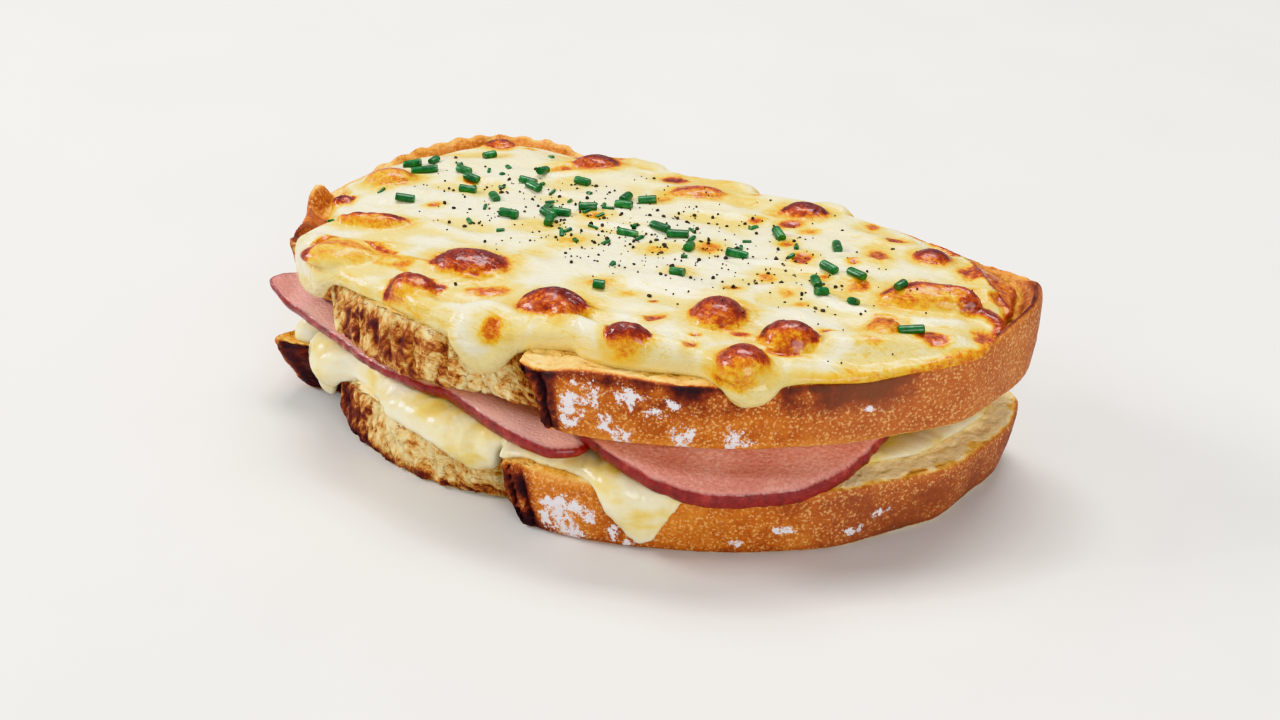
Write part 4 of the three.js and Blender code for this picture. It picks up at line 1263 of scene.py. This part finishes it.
def lower_toast(skin):
    up, span, lumps = skin.height, skin.span, skin.lumps
    # Crust: darker at the foot, at the right end and on the ears, paler at the top edge
    crusty = 0.41 + 0.2 * lumps(12, 47) + 0.1 * lumps(4, 44)
    crusty += 0.16 * faded(up, 0.6, 3) - 0.18 * smoothstep(up, 11.5, 13.5)
    crusty += skin.ear * (0.06 + 0.5 * ear_grooves(skin) + 0.3 * lumps(3, 55))
    crusty += 0.32 * span(268, 277) + 0.24 * span(270, 284) * faded(up, 1, 8)
    crusty += 0.22 * span(-14, 26, 12) + 0.2 * span(184, 200, 5)
    # Bloom: scorched along the foot and next to the left ear
    torn = 0.19 + 0.42 * faded(up, 0.6, 5) + 0.22 * lumps(7, 49)
    torn += 0.36 * span(203, 220, 14) + 0.26 * span(202, 207, 2)
    # Cut face: pale, and painted paler still as painted light on the crumb in the shade under the upper
    # slice; toasted over the ears and along the right rim
    ears = 0.36 * span(268, 290, 6) + 0.4 * span(180, 204, 6)
    cut = -0.07 + 0.06 * lumps(4, 49) + ears * (1 + 0.5 * lumps(3, 51))
    cut += 0.34 * span(-60, 40, 5) * faded(skin.inset + 3.2 * lumps(3.4, 53), 0.6, 2.2)
    return skin.wall * mix(crusty, torn, skin.torn) + skin.cut * cut


paint_bread(upper_bread, upper_skin, upper, upper_toast, UPPER_FLOUR)
paint_bread(lower_bread, lower_skin, lower, lower_toast, LOWER_FLOUR)

# %% Bread finish
bread = Finish("toasted_bread", roughness=0.66, Specular_IOR_Level=0.4)
toast, torn = bread.painted("toast"), bread.painted("torn")
speckle = bread.centred(bread.noise(1.2, 4, Roughness=0.72))
browned = bread.added(toast, speckle, 0.6)
crust_colour = bread.ramp(browned, [
    (0.0, (228, 170, 92)), (0.25, (208, 128, 54)), (0.48, (178, 90, 36)), (0.68, (130, 50, 28)),
    (0.84, (74, 32, 30)), (1.0, (40, 24, 28)),
])
# At the right end the crust turns a dull brown, partly its own tone and partly painted shade
crust_colour = bread.blend(bread.times(bread.painted("dull_and_shade"), 0.42), crust_colour, (176, 106, 74))
# Pale pimples all over the crust, where it isn't burnt
unburnt = bread.steps(browned, 0.75, 0.55)
dots = bread.steps(bread.cells(0.95), 0.36, 0.18)
dots = bread.times(dots, bread.steps(bread.noise(4, 2), 0.34, 0.6, 0.1, 0.6))
dots = bread.maths("MAXIMUM", dots, bread.steps(bread.noise(0.62, 1.5), 0.55, 0.68, 0.0, 0.55))
crust_colour = bread.blend(bread.times(dots, unburnt), crust_colour, (238, 192, 124))
# The palest stops, near white, are partly painted light for the lower slice's crumb, which lies in shade
cut_colour = bread.ramp(browned, [
    (0.0, (255, 236, 186)), (0.16, (255, 220, 134)), (0.36, (230, 168, 74)), (0.56, (182, 98, 42)),
    (0.76, (112, 46, 32)), (1.0, (50, 24, 28)),
])
# Fibres of the torn crumb stand upright at the left and are combed sideways at the front
strand = bread.painted("strand", "Vector")
turned = bread.stretched((1, 1, 1), strand, 0.35)
upright = bread.noise(1.5, 5, bread.stretched((1, 0.22, 0.5), turned), 1, Roughness=0.66)
sideways = bread.noise(1.3, 5, bread.stretched((0.3, 1, 0.5), turned), 1, Roughness=0.66)
combed = bread.maths("SUBTRACT", sideways, upright)
fibres = bread.added(upright, combed, bread.painted("combed"))
blotches = bread.noise(3.2, 6, bread.stretched((1, 0.6, 1), turned), 1, Roughness=0.72, Distortion=0.7)
scorched = bread.added(toast, bread.centred(blotches), 1.4)
scorched = bread.added(scorched, bread.centred(fibres), 1.4)
torn_colour = bread.ramp(scorched, [
    (0.0, (250, 232, 180)), (0.2, (240, 210, 144)), (0.34, (220, 164, 88)), (0.46, (176, 94, 50)),
    (0.57, (120, 52, 38)), (0.75, (82, 38, 42)), (1.0, (48, 24, 32)),
])
# Short brown marks in the torn crumb and on toasted cut faces
marks = bread.noise(2.2, 3, bread.stretched((0.6, 1, 0.5), turned), 1, Distortion=1.2)
marks = bread.times(bread.lines(marks, 0.035), bread.steps(bread.noise(3.4, 2), 0.5, 0.62, 0.0, 0.75))
torn_colour = bread.blend(marks, torn_colour, (158, 84, 46))
on_toast = bread.steps(toast, 0.08, 0.2)
cut_colour = bread.blend(bread.times(marks, on_toast), cut_colour, (140, 72, 40))
lined = bread.noise(1.3, 4, bread.stretched((0.22, 1, 1), strand), 1, Roughness=0.7)
lined = bread.times(bread.steps(lined, 0.54, 0.64, 0.0, 0.7), on_toast)
cut_colour = bread.blend(lined, cut_colour, (164, 88, 48))
colour = bread.blend(bread.painted("crumb"), crust_colour, cut_colour)
colour = bread.blend(torn, colour, torn_colour)
dusted = bread.added(bread.noise(1.9, 5, Roughness=0.8), bread.painted("flour"), 0.24)
on_crust = bread.steps(bread.painted("skin"), 0.4, 0.9)
flour = bread.times(bread.steps(dusted, 0.665, 0.71), on_crust)
colour = bread.blend(flour, colour, (224, 218, 220))
flakes = bread.added(fibres, blotches, 1.5)
fibre_bump = bread.bumped(bread.times(flakes, torn), 0.8)
fine = bread.bumped(bread.noise(0.8, 3), 0.22, fibre_bump)
bread.done(upper_bread, lower_bread, Base_Color=colour, Normal=bread.bumped(bread.noise(2.2, 4), 0.45, fine))

# %% Topping finish
CHEESE_GLOW = dict(Subsurface_Scale=0.003, Subsurface_Radius=(1.0, 0.7, 0.35))
FOLD_TURN = -0.5
glaze = Finish(
    "browned_cheese", roughness=0.3, Subsurface_Weight=0.2, Coat_Weight=0.35, Coat_Roughness=0.05,
    Specular_IOR_Level=0.3, **CHEESE_GLOW)
toast = glaze.painted("toast")
mottled = glaze.centred(glaze.noise(1.1, 5, Roughness=0.75))
how = glaze.added(toast, mottled, glaze.steps(toast, 0.12, 0.5, 0.08, 0.85))
how = glaze.added(how, glaze.painted("thin"), 0.06)
veins = glaze.noise(5, 4, glaze.stretched((0.4, 1, 1), turn=FOLD_TURN), Distortion=1.2)
veins = glaze.times(glaze.lines(veins, 0.03), glaze.steps(glaze.noise(12, 2), 0.42, 0.6))
how = glaze.added(how, veins, 0.08)
# The purplish tint of the darkest stops is partly painted reflection, the grey sheen on the blisters'
# crowns, over their real dark brown
cheese_colour = glaze.ramp(how, [
    (0.0, (225, 219, 199)), (0.09, (221, 210, 172)), (0.19, (217, 195, 120)), (0.29, (219, 173, 52)),
    (0.38, (206, 122, 36)), (0.48, (176, 74, 34)), (0.6, (134, 46, 32)), (0.78, (94, 40, 42)),
    (1.0, (48, 22, 28)),
])
# Fine threads and waves lie along the folds in which the cheese flowed
along = glaze.stretched((0.25, 1, 1), turn=FOLD_TURN)
threads = glaze.lines(glaze.noise(2.4, 3, along, Distortion=0.8), 0.1)
threads = glaze.bumped(threads, 0.06)
waves = glaze.bumped(glaze.noise(3.4, 3, along, Distortion=0.4), 0.25, threads)
glaze.done(topping, Base_Color=cheese_colour, Roughness=glaze.steps(glaze.noise(3), 0.3, 0.7, 0.2, 0.4),
           Normal=glaze.bumped(glaze.noise(0.8, 3), 0.1, waves))

# %% Cheese between the slices finish
melt = Finish(
    "melted_cheese", roughness=0.3, Subsurface_Weight=0.25, Coat_Weight=0.5, Coat_Roughness=0.1,
    **CHEESE_GLOW)
pools = melt.noise(9, 3, melt.stretched((1, 1, 2)))
melt_colour = melt.ramp(pools, [
    (0.32, (230, 224, 200)), (0.52, (230, 218, 174)), (0.66, (228, 204, 120)), (0.84, (220, 174, 72)),
])
ropes = melt.noise(3.2, 3, melt.stretched((1, 1, 0.35)), Distortion=0.8)
melt.done(filling, Base_Color=melt_colour,
          Normal=melt.bumped(melt.noise(1.2, 3), 0.1, melt.bumped(ropes, 0.25)))

# %% Ham finish
meat = Finish(
    "cooked_ham", roughness=0.27, Subsurface_Weight=0.12, Subsurface_Scale=0.002,
    Subsurface_Radius=(1.0, 0.6, 0.5), Coat_Weight=0.4, Coat_Roughness=0.15)
grain = meat.noise(0.8, 5, Roughness=0.75)
tone = meat.added(meat.added(-0.15, grain, 0.8), meat.noise(11, 2), 0.5)
pink = meat.ramp(tone, [(0.25, (208, 122, 108)), (0.5, (230, 162, 146)), (0.75, (246, 206, 192))])
# Painted light: the pink turns paler by the painted pale share, which lights the left slice's shaded top
pink = meat.blend(meat.times(meat.painted("pale"), 0.45), pink, (250, 206, 198))
red = meat.ramp(meat.noise(2.2, 4), [(0.25, (104, 14, 18)), (0.6, (148, 34, 32)), (0.85, (184, 74, 60))])
meat.done(left_slice, front_slice, Base_Color=meat.blend(meat.painted("rim"), pink, red),
          Normal=meat.bumped(meat.noise(0.7, 3), 0.28, meat.bumped(grain, 0.2)))

# %% Chive and pepper finishes
leaf = Finish("chive", roughness=0.35, Subsurface_Weight=0.1, Subsurface_Scale=0.001, Coat_Weight=0.2)
green = leaf.ramp(leaf.noise(1.6, 3), [(0.3, (14, 70, 32)), (0.55, (30, 104, 48)), (0.8, (74, 142, 74))])
leaf.done(chives, Base_Color=green, Normal=leaf.bumped(leaf.noise(0.6, 2), 0.08))
husk = Finish("pepper", roughness=0.6)
husk.done(pepper, Base_Color=husk.ramp(husk.noise(0.8, 2), [(0.3, (22, 18, 16)), (0.7, (70, 52, 40))]))

# %% [markdown]
# ## Into the frame
# Everything so far is in millimetres in the plan. Each piece is now moved into its node's place.

# %% Place the pieces
for piece, node, slot in (
    (lower_bread, "bottom_bread", "toasted_bread"), (filling, "lower_cheese", "melted_cheese"),
    (left_slice, "ham_left", "cooked_ham"), (front_slice, "ham_front", "cooked_ham"),
    (upper_bread, "top_bread", "toasted_bread"), (topping, "cheese_topping", "browned_cheese"),
    (chives, "cheese_topping", "browned_cheese"),
):
    into_place(piece, node)
into_frame(pepper)
